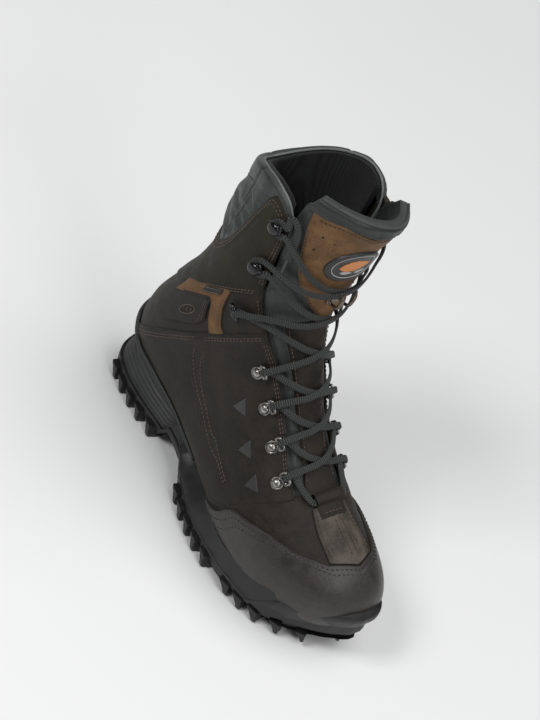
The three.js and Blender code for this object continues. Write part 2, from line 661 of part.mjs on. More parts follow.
{
  const rings = [];
  for (let i = 0; i <= 6; i += 1) {
    const th = between(-TAB_SPAN / 2, TAB_SPAN / 2, i / 6);
    const f = frameAt(TAB_T, th);
    const half = LACE_WIDTH / 2 + 0.45;
    const tall = tabGap;
    const ring = [[half + TAB_WALL, -1], [half + TAB_WALL, 0.6], [half, 1], [-half, 1], [-half - TAB_WALL, 0.6],
      [-half - TAB_WALL, -1]].map(([pb, k]) => localPoint(f, 0, pb, tabLift + k * (tall + TAB_WALL)));
    const hole = [[-half, -1], [-half, 1], [half, 1], [half, -1]].map(([pb, k]) => localPoint(f, 0, pb, tabLift + k * tall));
    rings.push({ ring, hole });
  }
  const skin = solidOf(loft(rings.map((r) => r.ring)));
  const bore = solidOf(loft(rings.map((r, i) => r.hole.map((p) => {
    const push = i === 0 ? -2 : i === 6 ? 2 : 0;
    return new THREE.Vector3(p.x, p.y + push, p.z);
  }))));
  add("lace_tab", geometryFrom(skin.subtract(bore)), 0x2b2622, 0.7, 0);
}

// ---------------------------------------------------------------- lacing hardware

const RINGS = [[6.9, 39], [8.15, 41], [9.55, 47], [10.9, 53]];
const LOOP = [13.9, 68.6];
const HOOKS = [[16.35, 76], [18.15, 79]];
const BAR_LIFT = LACE_THICK + RING_WIRE + FIT + 0.4;

function wire(points, radius, sides, steps) {
  const curve = new THREE.CatmullRomCurve3(points, false, "centripetal");
  const outline = Array.from({ length: sides }, (_, k) => {
    const angle = (k / sides) * 2 * Math.PI;
    return new THREE.Vector2(radius * Math.cos(angle), radius * Math.sin(angle));
  });
  const geometry = new THREE.ExtrudeGeometry(new THREE.Shape(outline), {
    steps, bevelEnabled: false, extrudePath: curve,
  });
  return indexed(geometry);
}

function indexed(geometry) {
  const position = geometry.getAttribute("position");
  const seen = new Map();
  const points = [];
  const index = [];
  for (let i = 0; i < position.count; i += 1) {
    const p = new THREE.Vector3().fromBufferAttribute(position, i);
    const key = [p.x, p.y, p.z].map((n) => Math.round(n * 1e4)).join(",");
    if (!seen.has(key)) {
      seen.set(key, points.length);
      points.push(p);
    }
    index.push(seen.get(key));
  }
  const faces = [];
  for (let i = 0; i < index.length; i += 3) {
    const face = index.slice(i, i + 3);
    if (new Set(face).size === 3) {
      faces.push(face);
    }
  }
  return geometryOf(points, faceOut(points, faces));
}

function strip(f, spine, width, thick) {
  const rings = spine.map(([pa, pn], i) => {
    const before = spine[Math.max(i - 1, 0)];
    const after = spine[Math.min(i + 1, spine.length - 1)];
    const slope = Math.atan2(after[1] - before[1], after[0] - before[0]);
    const da = -Math.sin(slope) * thick / 2;
    const dn = Math.cos(slope) * thick / 2;
    return [[-1, -1], [1, -1], [1, 1], [-1, 1]].map(([kb, kt]) =>
      localPoint(f, pa + kt * da, kb * width / 2, pn + kt * dn));
  });
  return loft(rings);
}

function disc(f, pa, radius, low, high, sides) {
  const rings = [[low, radius], [high, radius - 0.2]].map(([pn, r]) =>
    Array.from({ length: sides }, (_, k) => {
      const angle = (k / sides) * 2 * Math.PI;
      return localPoint(f, pa + r * Math.cos(angle), r * Math.sin(angle), pn);
    }));
  return loft(rings);
}

function dome(f, pa, radius, low, rise, sides) {
  const rings = [[0, 1], [0.5, 0.9], [1, 0.35]].map(([k, share]) =>
    Array.from({ length: sides }, (_, j) => {
      const angle = (j / sides) * 2 * Math.PI;
      return localPoint(f, pa + radius * share * Math.cos(angle), radius * share * Math.sin(angle), low + k * rise);
    }));
  return loft(rings);
}

const PLATE_LOW = FIT;
const PLATE_TOP = FIT + 0.9;
const HOOK_SEAT = 0.6;
const HOOK_RISE = PLATE_TOP + HOOK_SEAT + LACE_THICK + 0.9 + HOOK_PLATE / 2;
for (const [side, tag] of [[-1, "lateral"], [1, "medial"]]) {
  RINGS.forEach(([t, th], k) => {
    const f = frameAt(t, side * th);
    const washer = solidOf(disc(f, 0, WASHER_RADIUS, PLATE_LOW, PLATE_TOP, 10));
    const arm = solidOf(strip(f, [[2, 0.75], [RING_REACH - 3.5, 0.75]], 5.4, 0.9));
    const span = RING_SPAN / 2;
    const hoop = solidOf(wire([[RING_REACH - 4.6, 0.6, 1.2], [RING_REACH - 4, span * 0.8, 1.35],
      [RING_REACH - 2, span, 2.4], [RING_REACH, span * 0.86, BAR_LIFT], [RING_REACH, 0, BAR_LIFT],
      [RING_REACH, -span * 0.86, BAR_LIFT], [RING_REACH - 2, -span, 2.4], [RING_REACH - 4, -span * 0.8, 1.35],
      [RING_REACH - 4.6, -0.6, 1.2]].map(([pa, pb, pn]) => localPoint(f, pa, pb, pn)), RING_WIRE, 5, 8));
    add(`lace_ring_${tag}_${k + 1}`, geometryFrom(largest(washer.add(arm).add(hoop))), 0x77777a, 0.35, 1);
    add(`ring_rivet_${tag}_${k + 1}`, dome(f, 0, RIVET_RADIUS, PLATE_TOP + FIT, 1.9, 10), 0xa9a9ac, 0.25, 1);
  });
  HOOKS.forEach(([t, th], k) => {
    const f = frameAt(t, side * th);
    const plate = solidOf(strip(f, [[-4, 0.75], [6.4, 0.75]], 9, 0.9));
    const neck = solidOf(strip(f, [[3.5, 0.9], [5.6, 1.1], [6.6, HOOK_RISE / 2], [6.2, HOOK_RISE - 0.8], [4.4, HOOK_RISE + 0.3],
      [1.5, HOOK_RISE + 0.4], [-2, HOOK_RISE], [-4.2, HOOK_RISE + 0.8]], HOOK_WIDTH, HOOK_PLATE));
    const stud = solidOf(dome(f, -0.6, 2.7, PLATE_TOP - 0.2, 1.2, 10));
    add(`lace_hook_${tag}_${k + 1}`, geometryFrom(largest(plate.add(neck).add(stud))), 0x4a4a4c, 0.35, 1);
  });
  const f = frameAt(LOOP[0], side * LOOP[1]);
  const shape = [[-4, 0, 0.9], [-3.6, 4.4, 0.95], [-1.4, 6, 1.6], [1.5, 5.6, BAR_LIFT], [2.4, 0, BAR_LIFT + 0.3], [1.5, -5.6, BAR_LIFT],
    [-1.4, -6, 1.6], [-3.6, -4.4, 0.95]];
  const ringPoints = shape.map(([pa, pb, pn]) => localPoint(f, pa, pb, pn + LOOP_WIRE + FIT - 0.8 + OVER_FIT));
  const loopCurve = new THREE.CatmullRomCurve3(ringPoints, true, "centripetal");
  const rings = [];
  const steps = 16;
  for (let i = 0; i < steps; i += 1) {
    const at = loopCurve.getPointAt(i / steps);
    const along = loopCurve.getTangentAt(i / steps);
    const across = f.n.clone().cross(along).normalize();
    const up = along.clone().cross(across).normalize();
    rings.push(Array.from({ length: 6 }, (_, j) => {
      const angle = (j / 6) * 2 * Math.PI;
      return at.clone().addScaledVector(across, LOOP_WIRE * Math.cos(angle)).addScaledVector(up, LOOP_WIRE * Math.sin(angle));
    }));
  }
  const points = rings.flat();
  const faces = [];
  for (let i = 0; i < steps; i += 1) {
    for (let j = 0; j < 6; j += 1) {
      const a = i * 6 + j;
      const b = i * 6 + ((j + 1) % 6);
      const c = ((i + 1) % steps) * 6 + j;
      const d = ((i + 1) % steps) * 6 + ((j + 1) % 6);
      faces.push([a, b, d], [a, d, c]);
    }
  }
  add(`ankle_loop_${tag}`, geometryOf(points, faceOut(points, faces)), 0x3c3c3e, 0.4, 1);
}

// Keeper below the badge: a plate with two prongs that hold the crossed lace against the tongue
{
  const flat = frameAt(KEEPER_T, 0.01);
  const f = { ...flat, centre: lean(flat.centre, KEEPER_T) };
  const low = patchFace + OVER_FIT;
  const plate = solidOf(strip({ ...f, centre: localPoint(f, 0, -11.5, 0) }, [[-6.8, low + 0.45], [6.8, low + 0.45]], 4, 0.9));
  const prong = (k) => solidOf(wire([[k * 5, -11.5, low + 0.5], [k * 5.2, -11.3, low + 5], [k * 5.4, -8.4, low + 9.6],
    [k * 5.5, 0, low + 11], [k * 5.2, 7, low + 9.6]].map(([pa, pb, pn]) => localPoint(f, pa, pb, pn)), 1.3, 6, 9));
  add("lace_keeper", geometryFrom(largest(plate.add(prong(-1)).add(prong(1)))), 0x5a4f45, 0.4, 1);
}

const TAG_T = 14.82;
add("side_tag_lateral", panel((u, v) => [between(TAG_T - 0.12, TAG_T + 0.12, u), -between(84, 99, v)],
  OVER_FIT + OVERLAY + FIT, OVER_FIT + OVERLAY + FIT + 0.8, 1, 3), 0x20201e, 0.9, 0);

// ---------------------------------------------------------------- lace

// How far each crossing dips below the straight run between its eyelets, in sections
const SAG = [0, 0.4, 0.4, 0.5, 0.8, 1.9, 2.15];

// Stations of one half, from the tab to the tucked end
function halfLace(first) {
  const out = [];
  const put = (point, normal, across) => out.push({ point, normal, across });
  const stops = [...RINGS.map(([t, th]) => ({ kind: "ring", t, th })), { kind: "loop", t: LOOP[0], th: LOOP[1] },
    ...HOOKS.map(([t, th]) => ({ kind: "hook", t, th }))];
  const turnRing = (f, reach, bar, gauge) => {
    const rise = LACE_THICK / 2 + gauge + 0.3;
    const spots = [[reach + 4, -0.8, bar - rise + 0.1], [reach, -0.8, bar - rise], [reach - rise * 0.8, -0.3, bar - rise * 0.6],
      [reach - rise, 0, bar], [reach - rise * 0.8, 0.3, bar + rise * 0.6], [reach, 0.8, bar + rise],
      [reach + 4, 0.8, bar + rise * 0.75]];
    for (const [pa, pb, pn] of spots) {
      put(localPoint(f, pa, pb, pn), null, f.b);
    }
  };
  const turnHook = (f) => {
    const wide = HOOK_WIDTH / 2 + LACE_WIDTH / 2 + 0.6;
    const low = PLATE_TOP + LACE_THICK / 2 + HOOK_SEAT;
    const spots = [[11, -wide + 1, low - 0.3], [5, -wide, low], [1.5, -wide * 0.85, low + 0.35], [-0.4, -wide * 0.45, low + 0.5],
      [-1, 0, low + 0.5], [-0.4, wide * 0.45, low + 0.5], [1.5, wide * 0.85, low + 0.35], [5, wide, low], [11, wide - 1, low - 0.3]];
    for (const [pa, pb, pn] of spots) {
      put(localPoint(f, pa, pb, pn), f.n, null);
    }
  };
  let side = first;
  let here = { t: TAB_T, th: 0, high: false };
  const tabFrame = frameAt(TAB_T, first * 7);
  put(localPoint(frameAt(TAB_T, first * 0.01), 0, 0, tabLift), tabFrame.n, null);
  put(localPoint(tabFrame, 0, 0, tabLift), tabFrame.n, null);
  put(localPoint(frameAt(TAB_T, first * 16), 0, 0, tabLift), frameAt(TAB_T, first * 16).n, null);
  stops.forEach((stop, k) => {
    const f = frameAt(stop.t, side * stop.th);
    if (k > 0) {
      const over = (k % 2 === 0) === (first > 0);
      const from = here;
      const toAngle = side * (stop.th - (stop.kind === "ring" ? 15 : stop.kind === "loop" ? 11 : 15));
      const fromAngle = -side * (from.th - (from.kind === "ring" ? 15 : from.kind === "loop" ? 11 : 15));
      const count = k > 4 ? 9 : 6;
      for (let i = 1; i < count; i += 1) {
        const share = i / count;
        const mid = Math.sin(Math.PI * share);
        const t = between(from.t + 0.12, stop.t - 0.12, share) - SAG[k] * mid;
        const th = between(fromAngle, toAngle, share);
        const flap = t > TONGUE_SPLIT ? Math.min((t - TONGUE_SPLIT) / 1, 1) : 0;
        const lift = CROSS_LOW + (over ? CROSS_RISE * mid : 0) + 0.9 * flap + 2.2 * (1 - mid) * (1 - mid);
        const spot = on(t, th, lift);
        put(t > TONGUE_SPLIT ? lean(spot, t) : spot, outward(t, th), null);
      }
    }
    if (stop.kind === "ring") {
      turnRing(f, RING_REACH, BAR_LIFT, RING_WIRE);
    } else if (stop.kind === "loop") {
      turnRing(f, 2.3, BAR_LIFT + 0.3 + LOOP_WIRE + FIT - 0.8 + OVER_FIT, LOOP_WIRE);
    } else {
      turnHook(f);
    }
    here = stop;
    side = -side;
  });
  side = -side;
  for (const [t, back, lift] of [[18.6, 13, 3.2], [18.5, 18, 3.0], [18.1, 20.5, 2.6], [17.5, 21, 2.4], [16.9, 20.5, 2.4]]) {
    const th = side * (facing(t) - back + 10);
    put(lean(on(t, th, lift), t), outward(t, th), null);
  }
  return out;
}

function sweepLace(stations) {
  const n = stations.length;
  let last = null;
  const rings = stations.map((s, i) => {
    const along = stations[Math.min(i + 1, n - 1)].point.clone().sub(stations[Math.max(i - 1, 0)].point).normalize();
    const across = s.across ? s.across.clone() : s.normal.clone().cross(along);
    across.addScaledVector(along, -across.dot(along)).normalize();
    if (last && across.dot(last) < 0) {
      across.negate();
    }
    last = across;
    const up = along.clone().cross(across).normalize();
    return s.profile.map(([w, h]) => s.point.clone().addScaledVector(across, w).addScaledVector(up, h));
  });
  return loft(rings);
}

const W = LACE_WIDTH / 2;
const H = LACE_THICK / 2;
const FLAT = [[-W, 0], [-W * 0.6, H], [W * 0.6, H], [W, 0], [W * 0.6, -H], [-W * 0.6, -H]];
const TIP = [0, 1, 2, 3, 4, 5].map((k) => [-AGLET_RADIUS * Math.cos(k * 60 * RAD), AGLET_RADIUS * Math.sin(k * 60 * RAD)]);

// Each end of the lace closes in a moulded tip
function tipped(stations) {
  const tail = stations[stations.length - 1];
  const along = tail.point.clone().sub(stations[stations.length - 2].point).normalize();
  const tips = [1.5, AGLET_LENGTH].map((d) => ({ ...tail, point: tail.point.clone().addScaledVector(along, d), profile: TIP }));
  return [...stations.map((s) => ({ ...s, profile: FLAT })), ...tips];
}

const outerHalf = tipped(halfLace(-1));
const innerHalf = tipped(halfLace(1));
add("lace", sweepLace([...outerHalf.slice(1).reverse(), ...innerHalf]), 0x3a3a3c, 0.9, 0);

// The finished boot stands on z = 0, centred over the origin
const bounds = new THREE.Box3().setFromObject(group);
const shift = new THREE.Vector3(-(bounds.min.x + bounds.max.x) / 2, -(bounds.min.y + bounds.max.y) / 2, -bounds.min.z);
for (const mesh of group.children) {
  mesh.geometry.translate(shift.x, shift.y, shift.z);
}

export default group;
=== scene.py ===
import json
import math
import bpy
import numpy as np
from mathutils import Matrix, Vector
from mathutils.bvhtree import BVHTree
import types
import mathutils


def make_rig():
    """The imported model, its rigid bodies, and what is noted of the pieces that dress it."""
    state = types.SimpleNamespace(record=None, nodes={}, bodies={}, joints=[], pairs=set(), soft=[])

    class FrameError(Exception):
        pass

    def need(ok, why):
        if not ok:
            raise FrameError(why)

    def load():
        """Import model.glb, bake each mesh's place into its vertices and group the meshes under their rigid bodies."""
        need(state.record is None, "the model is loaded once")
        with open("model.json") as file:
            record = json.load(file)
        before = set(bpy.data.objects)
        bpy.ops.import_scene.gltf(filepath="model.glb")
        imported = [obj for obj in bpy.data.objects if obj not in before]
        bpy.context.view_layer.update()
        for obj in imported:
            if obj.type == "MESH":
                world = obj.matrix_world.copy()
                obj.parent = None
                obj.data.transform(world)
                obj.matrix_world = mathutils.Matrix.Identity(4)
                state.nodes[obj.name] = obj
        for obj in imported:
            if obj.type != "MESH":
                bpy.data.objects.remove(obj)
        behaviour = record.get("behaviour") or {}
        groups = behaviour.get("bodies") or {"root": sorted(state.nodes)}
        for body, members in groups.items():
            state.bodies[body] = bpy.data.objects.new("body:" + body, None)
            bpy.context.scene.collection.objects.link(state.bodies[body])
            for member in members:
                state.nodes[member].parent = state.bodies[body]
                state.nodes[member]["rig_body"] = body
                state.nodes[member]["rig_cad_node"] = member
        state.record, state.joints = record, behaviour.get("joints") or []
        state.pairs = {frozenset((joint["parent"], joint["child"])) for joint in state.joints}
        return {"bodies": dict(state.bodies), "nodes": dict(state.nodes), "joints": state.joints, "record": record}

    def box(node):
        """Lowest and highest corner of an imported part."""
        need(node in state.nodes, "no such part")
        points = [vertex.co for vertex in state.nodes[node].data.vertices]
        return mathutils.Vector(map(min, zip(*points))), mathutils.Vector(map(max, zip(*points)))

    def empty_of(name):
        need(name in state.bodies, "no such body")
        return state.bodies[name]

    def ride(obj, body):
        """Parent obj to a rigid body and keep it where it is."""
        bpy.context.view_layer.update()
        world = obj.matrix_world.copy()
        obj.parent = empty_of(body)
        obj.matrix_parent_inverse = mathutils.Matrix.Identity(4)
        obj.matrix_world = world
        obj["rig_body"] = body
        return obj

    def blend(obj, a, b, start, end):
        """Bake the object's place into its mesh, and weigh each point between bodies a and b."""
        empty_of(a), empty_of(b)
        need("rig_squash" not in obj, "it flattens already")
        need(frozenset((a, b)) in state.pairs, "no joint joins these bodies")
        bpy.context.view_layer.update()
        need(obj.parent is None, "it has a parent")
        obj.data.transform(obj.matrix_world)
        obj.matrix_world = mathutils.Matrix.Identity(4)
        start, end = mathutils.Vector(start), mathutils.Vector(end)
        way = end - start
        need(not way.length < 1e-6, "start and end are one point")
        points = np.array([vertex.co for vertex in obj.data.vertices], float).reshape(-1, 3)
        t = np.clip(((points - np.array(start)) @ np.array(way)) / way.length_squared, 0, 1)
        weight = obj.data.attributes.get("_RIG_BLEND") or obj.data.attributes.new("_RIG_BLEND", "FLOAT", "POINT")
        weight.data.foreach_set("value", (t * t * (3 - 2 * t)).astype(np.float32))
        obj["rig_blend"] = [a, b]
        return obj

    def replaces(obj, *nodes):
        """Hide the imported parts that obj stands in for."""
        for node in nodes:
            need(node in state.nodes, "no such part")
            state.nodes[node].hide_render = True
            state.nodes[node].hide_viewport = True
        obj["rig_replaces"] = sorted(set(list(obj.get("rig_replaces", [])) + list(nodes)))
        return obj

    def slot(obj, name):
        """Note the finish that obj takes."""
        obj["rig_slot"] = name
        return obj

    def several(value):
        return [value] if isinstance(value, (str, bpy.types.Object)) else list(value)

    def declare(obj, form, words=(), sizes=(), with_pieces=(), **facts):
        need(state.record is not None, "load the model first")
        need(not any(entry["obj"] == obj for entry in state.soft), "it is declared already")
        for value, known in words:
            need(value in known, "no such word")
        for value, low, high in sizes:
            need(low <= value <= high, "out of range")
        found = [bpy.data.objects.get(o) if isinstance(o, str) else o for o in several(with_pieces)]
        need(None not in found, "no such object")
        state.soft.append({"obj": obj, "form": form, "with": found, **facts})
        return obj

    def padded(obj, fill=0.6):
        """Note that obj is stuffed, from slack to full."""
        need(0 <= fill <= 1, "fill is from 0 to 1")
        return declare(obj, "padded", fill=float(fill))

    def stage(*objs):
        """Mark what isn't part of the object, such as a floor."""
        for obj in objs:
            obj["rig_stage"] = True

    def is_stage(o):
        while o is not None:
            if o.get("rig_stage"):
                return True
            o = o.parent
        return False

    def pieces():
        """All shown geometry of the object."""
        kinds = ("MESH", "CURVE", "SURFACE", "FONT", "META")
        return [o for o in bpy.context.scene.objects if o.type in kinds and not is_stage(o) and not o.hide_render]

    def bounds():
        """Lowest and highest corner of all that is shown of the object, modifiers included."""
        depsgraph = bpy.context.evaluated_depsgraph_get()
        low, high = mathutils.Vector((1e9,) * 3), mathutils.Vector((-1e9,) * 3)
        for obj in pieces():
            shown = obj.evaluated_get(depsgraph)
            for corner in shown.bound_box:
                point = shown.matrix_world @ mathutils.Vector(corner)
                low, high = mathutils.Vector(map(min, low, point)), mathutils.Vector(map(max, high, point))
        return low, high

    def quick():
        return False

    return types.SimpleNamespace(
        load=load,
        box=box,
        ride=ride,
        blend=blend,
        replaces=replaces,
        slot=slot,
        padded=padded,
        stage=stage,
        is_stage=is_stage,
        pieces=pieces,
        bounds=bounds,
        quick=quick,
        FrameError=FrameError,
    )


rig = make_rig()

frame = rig.load()
cad_box = [list(corner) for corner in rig.bounds()]

# ------------------------------------------------------------------ sizes, mm, as in the CAD model
FIT, OVER_FIT, LEATHER, RAND, PATCH, OVERLAY = .3, .6, 2.2, 2.1, 1.3, 1.5
LINER_OUT, LINER_IN = -5.4, -9.6
LACE_WIDTH, LACE_THICK, RING_WIRE, RING_SPAN, RING_REACH = 5.2, 2.0, 1.1, 9.4, 9
HOOK_WIDTH, HOOK_PLATE, LOOP_WIRE, CROSS_LOW, CROSS_RISE = 5, 1.2, 1.4, 1.7, 2.7
AGLET_LENGTH = 17
LUG_HEIGHT, TREAD_BASE = 6.5, 7
PLATE_TOP, HOOK_SEAT = 1.2, .6
BAR_LIFT = LACE_THICK + RING_WIRE + FIT + .4
TAB_T, TAB_WALL = 5.86, 1.3
TAB_GAP = LACE_THICK / 2 + .45
TAB_LIFT = FIT + TAB_WALL + TAB_GAP
ANKLE_LOW, ANKLE_HIGH = 12.55, 15.05
TONGUE_SPLIT, TONGUE_END, PATCH_TOP = 13, 19.35, 18.7
FLAP_FACE = -LEATHER - FIT
PATCH_FACE = FLAP_FACE + OVER_FIT + PATCH
BADGE_T, KEEPER_T = 16.75, 15.1
SECTION_RISE = 15  # mm of height from one section of the shaft to the next
FAR_FROM_EDGE = 20.0
WEDGE_RIBS, CUP_RIBS = 6.5, 7
PUFF_PRESSURE, PUFF_FRAMES = 60, 20

# Sections of the form, toe to collar: instep x, z; underside x, z; outer and inner half width;
# instep y; underside y; share of height above the widest line; roundness above and below it
SECTIONS = np.array([
    [303, 46, 303, 44, 1, 1, 8, 9, .5, 1, 1],
    [301.5, 57, 300.5, 33, 14, 12, 7, 9, .5, .95, .8],
    [296, 67, 295, 28, 26, 21, 5, 8, .52, .92, .65],
    [285, 76, 284, 25, 37, 29, 3, 6, .55, .92, .55],
    [268, 83, 266, 24, 45, 36, 2, 3, .6, .92, .5],
    [246, 89, 242, 24, 51, 42, 1, 0, .64, .92, .48],
    [225, 98, 214, 25, 53, 44, 1, -2, .66, .92, .48],
    [207, 110, 184, 27, 51, 42, 1, -3, .66, .92, .5],
    [192, 124, 153, 29, 46, 39, 1, -3, .62, .92, .52],
    [179, 139, 120, 31, 41, 37, 0, -2, .56, .92, .55],
    [167, 155, 86, 33, 38, 37, 0, 0, .5, .92, .58],
    [157, 171, 50, 35, 37, 37, 0, 0, .46, .92, .6],
    [150, 187, 20, 40, 39, 38, 0, 0, .45, .92, .66],
    [146, 203, 7, 58, 41, 40, 0, 0, .46, .92, .8],
    [144, 219, 7, 88, 43, 42, 0, 0, .48, .92, .95],
    [143, 235, 19, 125, 44, 43, 0, 0, .5, .92, 1.1],
    [143, 251, 30, 165, 45, 44, 0, 0, .5, .92, 1.15],
    [144, 267, 34, 205, 46, 45, 0, 0, .5, .92, 1.15],
    [147, 283, 34, 245, 47, 46, 0, 0, .5, .92, 1.15],
    [151, 297, 31, 283, 48, 47, 0, 0, .5, .92, 1.15],
    [156, 311, 27, 321, 49, 48, 0, 0, .5, .92, 1.15],
])
LAST = len(SECTIONS) - 1
FACING = [[6.2, 27], [8, 28], [9.5, 32], [11, 38], [13, 48], [15, 60], [16.5, 66], [19, 71], [20, 73]]
SIDE_SEAM = [[6.9, 84], [7.75, 88], [9.1, 94], [10.55, 96], [12.2, 92], [12.6, 88]]
VAMP_REAR = [[0, 6.15], [27, 6.15], [39, 6.25], [67, 6.75], [86, 7.05], [123, 7.6], [150, 7.8]]
RAND_TOP = [[0, 3.3], [31, 3.8], [47, 4.6], [59, 5.55], [82, 6.85], [123, 7.55], [150, 7.65]]
COLLAR_SEAM = [[58, 18.3], [66, 18.42], [72, 18.5], [80, 18.75], [87, 18.98], [93, 19.0], [98, 18.55],
               [104, 17.8], [112, 17.0], [122, 16.6],
               [135, 16.5], [150, 16.75], [165, 16.88], [180, 16.9]]
RIM = [[60, 18.1], [70, 18.3], [75, 18.7], [82, 19.05], [92, 19.2], [106, 19.2], [125, 19.0], [150, 18.65],
       [165, 18.5], [180, 18.45]]
RINGS = [[6.9, 39], [8.15, 41], [9.55, 47], [10.9, 53]]
LOOP = [13.9, 68.6]
HOOKS = [[16.35, 76], [18.15, 79]]
SAG = [0, .4, .4, .5, .8, 1.9, 2.15]
PLAN = np.array([
    [.5, -3, 3], [4, -13, 13], [11, -22, 22], [22, -28, 28.5], [40, -32, 33], [62, -33, 35], [88, -32, 34],
    [112, -34.5, 34], [134, -42, 36], [158, -50.5, 41], [182, -55.5, 47], [213, -57, 49], [240, -54, 48],
    [262, -48, 44.5], [280, -38, 38.5], [293, -27, 32.5], [303, -15, 26], [309, -5, 19], [311.5, 2, 13],
])
CUP_TOP = [[0, 8.7, 135], [.25, 10, 136], [.5, 11.2, 137], [.7, 12.3, 142], [.85, 13, 154], [1, 13.5, 180]]
CUP_LOW = [[0, 8.7, 152], [.25, 10, 156], [.5, 11.2, 160], [.7, 11.9, 166], [.85, 12.15, 173],
           [1, 12.2, 180]]


# ------------------------------------------------------------------ form
def look(pairs, key, column=1):
    rows = np.asarray(pairs, float)
    return np.interp(key, rows[:, 0], rows[:, column])


def spline(rows, at):
    last = len(rows) - 1
    at = np.clip(at, 0, last)
    i = np.minimum(np.floor(at).astype(int), last - 1)
    f = (at - i)[..., None]
    b, c = rows[i], rows[i + 1]
    a = np.where((i > 0)[..., None], rows[np.maximum(i - 1, 0)], 2 * b - c)
    d = np.where((i < last - 1)[..., None], rows[np.minimum(i + 2, last)], 2 * c - b)
    return b + .5 * f * (c - a + f * (2 * a - 5 * b + 4 * c - d + f * (3 * (b - c) + d - a)))


def wrap(th):
    th = np.asarray(th, float)
    return np.where(th > 180, th - 360, np.where(th < -180, th + 360, th))


def form(t, th):
    t, th = np.broadcast_arrays(np.asarray(t, float), np.asarray(th, float))
    ix, iz, ux, uz, w_out, w_in, iy, uy, split, up, down = np.moveaxis(spline(SECTIONS, t), -1, 0)
    a = np.abs(th) * math.pi / 180
    c, s = np.abs(np.cos(a)), np.maximum(np.sin(a), 0)
    upper = a < math.pi / 2
    k = np.where(upper, split * (1 - c ** up), split + (1 - split) * c ** down)
    wide = s ** np.where(upper, up, down) * np.where(th < 0, w_out, w_in)
    side = np.where(th < 0, -wide, wide)
    return np.stack([ix + (ux - ix) * k, iy + (uy - iy) * k + side, iz + (uz - iz) * k], -1)


def unit(v):
    return v / np.maximum(np.linalg.norm(v, axis=-1, keepdims=True), 1e-9)


def outward(t, th):
    t = np.asarray(t, float)
    along = form(np.minimum(t + .02, LAST), wrap(th)) - form(np.maximum(t - .02, .02), wrap(th))
    around = form(t, wrap(np.asarray(th) + 1.5)) - form(t, wrap(np.asarray(th) - 1.5))
    return unit(np.cross(around, along))


def on(t, th, lift):
    lift = np.asarray(lift, float)[..., None]
    return form(t, wrap(th)) + outward(t, th) * lift


def between(low, high, share):
    return low + (high - low) * share


def ramp(x, a, b):
    k = np.clip((np.asarray(x, float) - a) / (b - a), 0, 1)
    return k * k * (3 - 2 * k)


def line_at(distance, centre, wide):
    """1 on a line and 0 away from it, for a groove or a ridge that is wide across."""
    return np.exp(-((distance - centre) / wide) ** 2)


def facing(t):
    return look(FACING, t)


def rim(th):
    a = np.abs(wrap(th))
    return sum(look(RIM, a + d) for d in (-4, -2, 0, 2, 4)) / 5


def collar_seam(th):
    """Height of the seam between the shaft leather and the padded collar, softened at its corners."""
    a = np.abs(wrap(th))
    return sum(look(COLLAR_SEAM, a + d) for d in (-4, -2, 0, 2, 4)) / 5


def side_seam(t):
    return sum(look(SIDE_SEAM, np.asarray(t, float) + d) for d in (-.5, -.25, 0, .25, .5)) / 5


def lasted_at(t):
    return look([[11, 150], [12, 162], [12.35, 179.6]], t)


def lean(p, t):
    rise = np.clip((np.asarray(t, float) - TONGUE_SPLIT) / (TONGUE_END - TONGUE_SPLIT), 0, None)
    turn = .16 * rise * rise
    out = np.array(p, float)
    out[..., 0] += turn * p[..., 1] + 5 * rise * (1 - rise)
    out[..., 2] -= .07 * rise * rise * p[..., 1]
    return out


def lumps(p, size, seed=0):
    """Slow waves over the surface, about -1 to 1, so that lasted leather isn't dead flat."""
    k = 2 * math.pi / size
    x, y, z = p[..., 0] * k, p[..., 1] * k, p[..., 2] * k
    return (np.sin(x + 1.7 * np.sin(.7 * z + seed) + seed) + np.sin(1.3 * z + 1.3 * np.sin(y + 2 * seed))
            + np.sin(.9 * y + .8 * x + 3.1 * seed)) / 3


# The CAD frame's shift, read from the vamp, which both models make from the same formula
def cad_vamp():
    u, v = np.meshgrid(np.linspace(0, 1, 11), np.linspace(0, 1, 25), indexing="ij")
    th = between(-150, 150, v)
    t = between(.2, look(VAMP_REAR, np.abs(th)) - .03, u)
    return np.concatenate([on(t, th, 0).reshape(-1, 3), on(t, th, -LEATHER).reshape(-1, 3)])


vamp_points = cad_vamp()
low_corner, high_corner = [np.array(c) * 1000 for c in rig.box("vamp")]
SHIFT = low_corner - vamp_points.min(0)
print("shift", SHIFT, "check", high_corner - vamp_points.max(0) - SHIFT)


def row(p):
    return (np.asarray(p, float) + SHIFT) * .001


# ------------------------------------------------------------------ camera, light and floor
AZ, EL, ROLL = math.radians(56.15), math.radians(43.47), math.radians(30.57)
TARGET = np.array([150.0, 0, 120])
forward = -np.array([math.cos(AZ) * math.cos(EL), -math.sin(AZ) * math.cos(EL), math.sin(EL)])
right = unit(np.cross(forward, [0, 0, 1]))
above = np.cross(right, forward)
right, above = (math.cos(ROLL) * right + math.sin(ROLL) * above,
                -math.sin(ROLL) * right + math.cos(ROLL) * above)
eye = row(TARGET - forward * 1800 - 9.85 * right + 27 * above)
camera = bpy.data.objects.new("camera", bpy.data.cameras.new("camera"))
bpy.context.collection.objects.link(camera)
camera.data.lens = 121.55
camera.data.sensor_width = 36
camera.data.clip_start = .05
camera.matrix_world = Matrix([[*map(float, r)] for r in np.column_stack([right, above, -forward, eye])]
                             + [[0, 0, 0, 1]])
bpy.context.scene.camera = camera


def area_light(name, place, aim, size, power, colour=(1, 1, 1)):
    data = bpy.data.lights.new(name, "AREA")
    data.size, data.energy, data.color = size, power, colour
    light = bpy.data.objects.new(name, data)
    bpy.context.collection.objects.link(light)
    light.location = place
    light.rotation_euler = (Vector(aim) - Vector(place)).to_track_quat("-Z", "Y").to_euler()


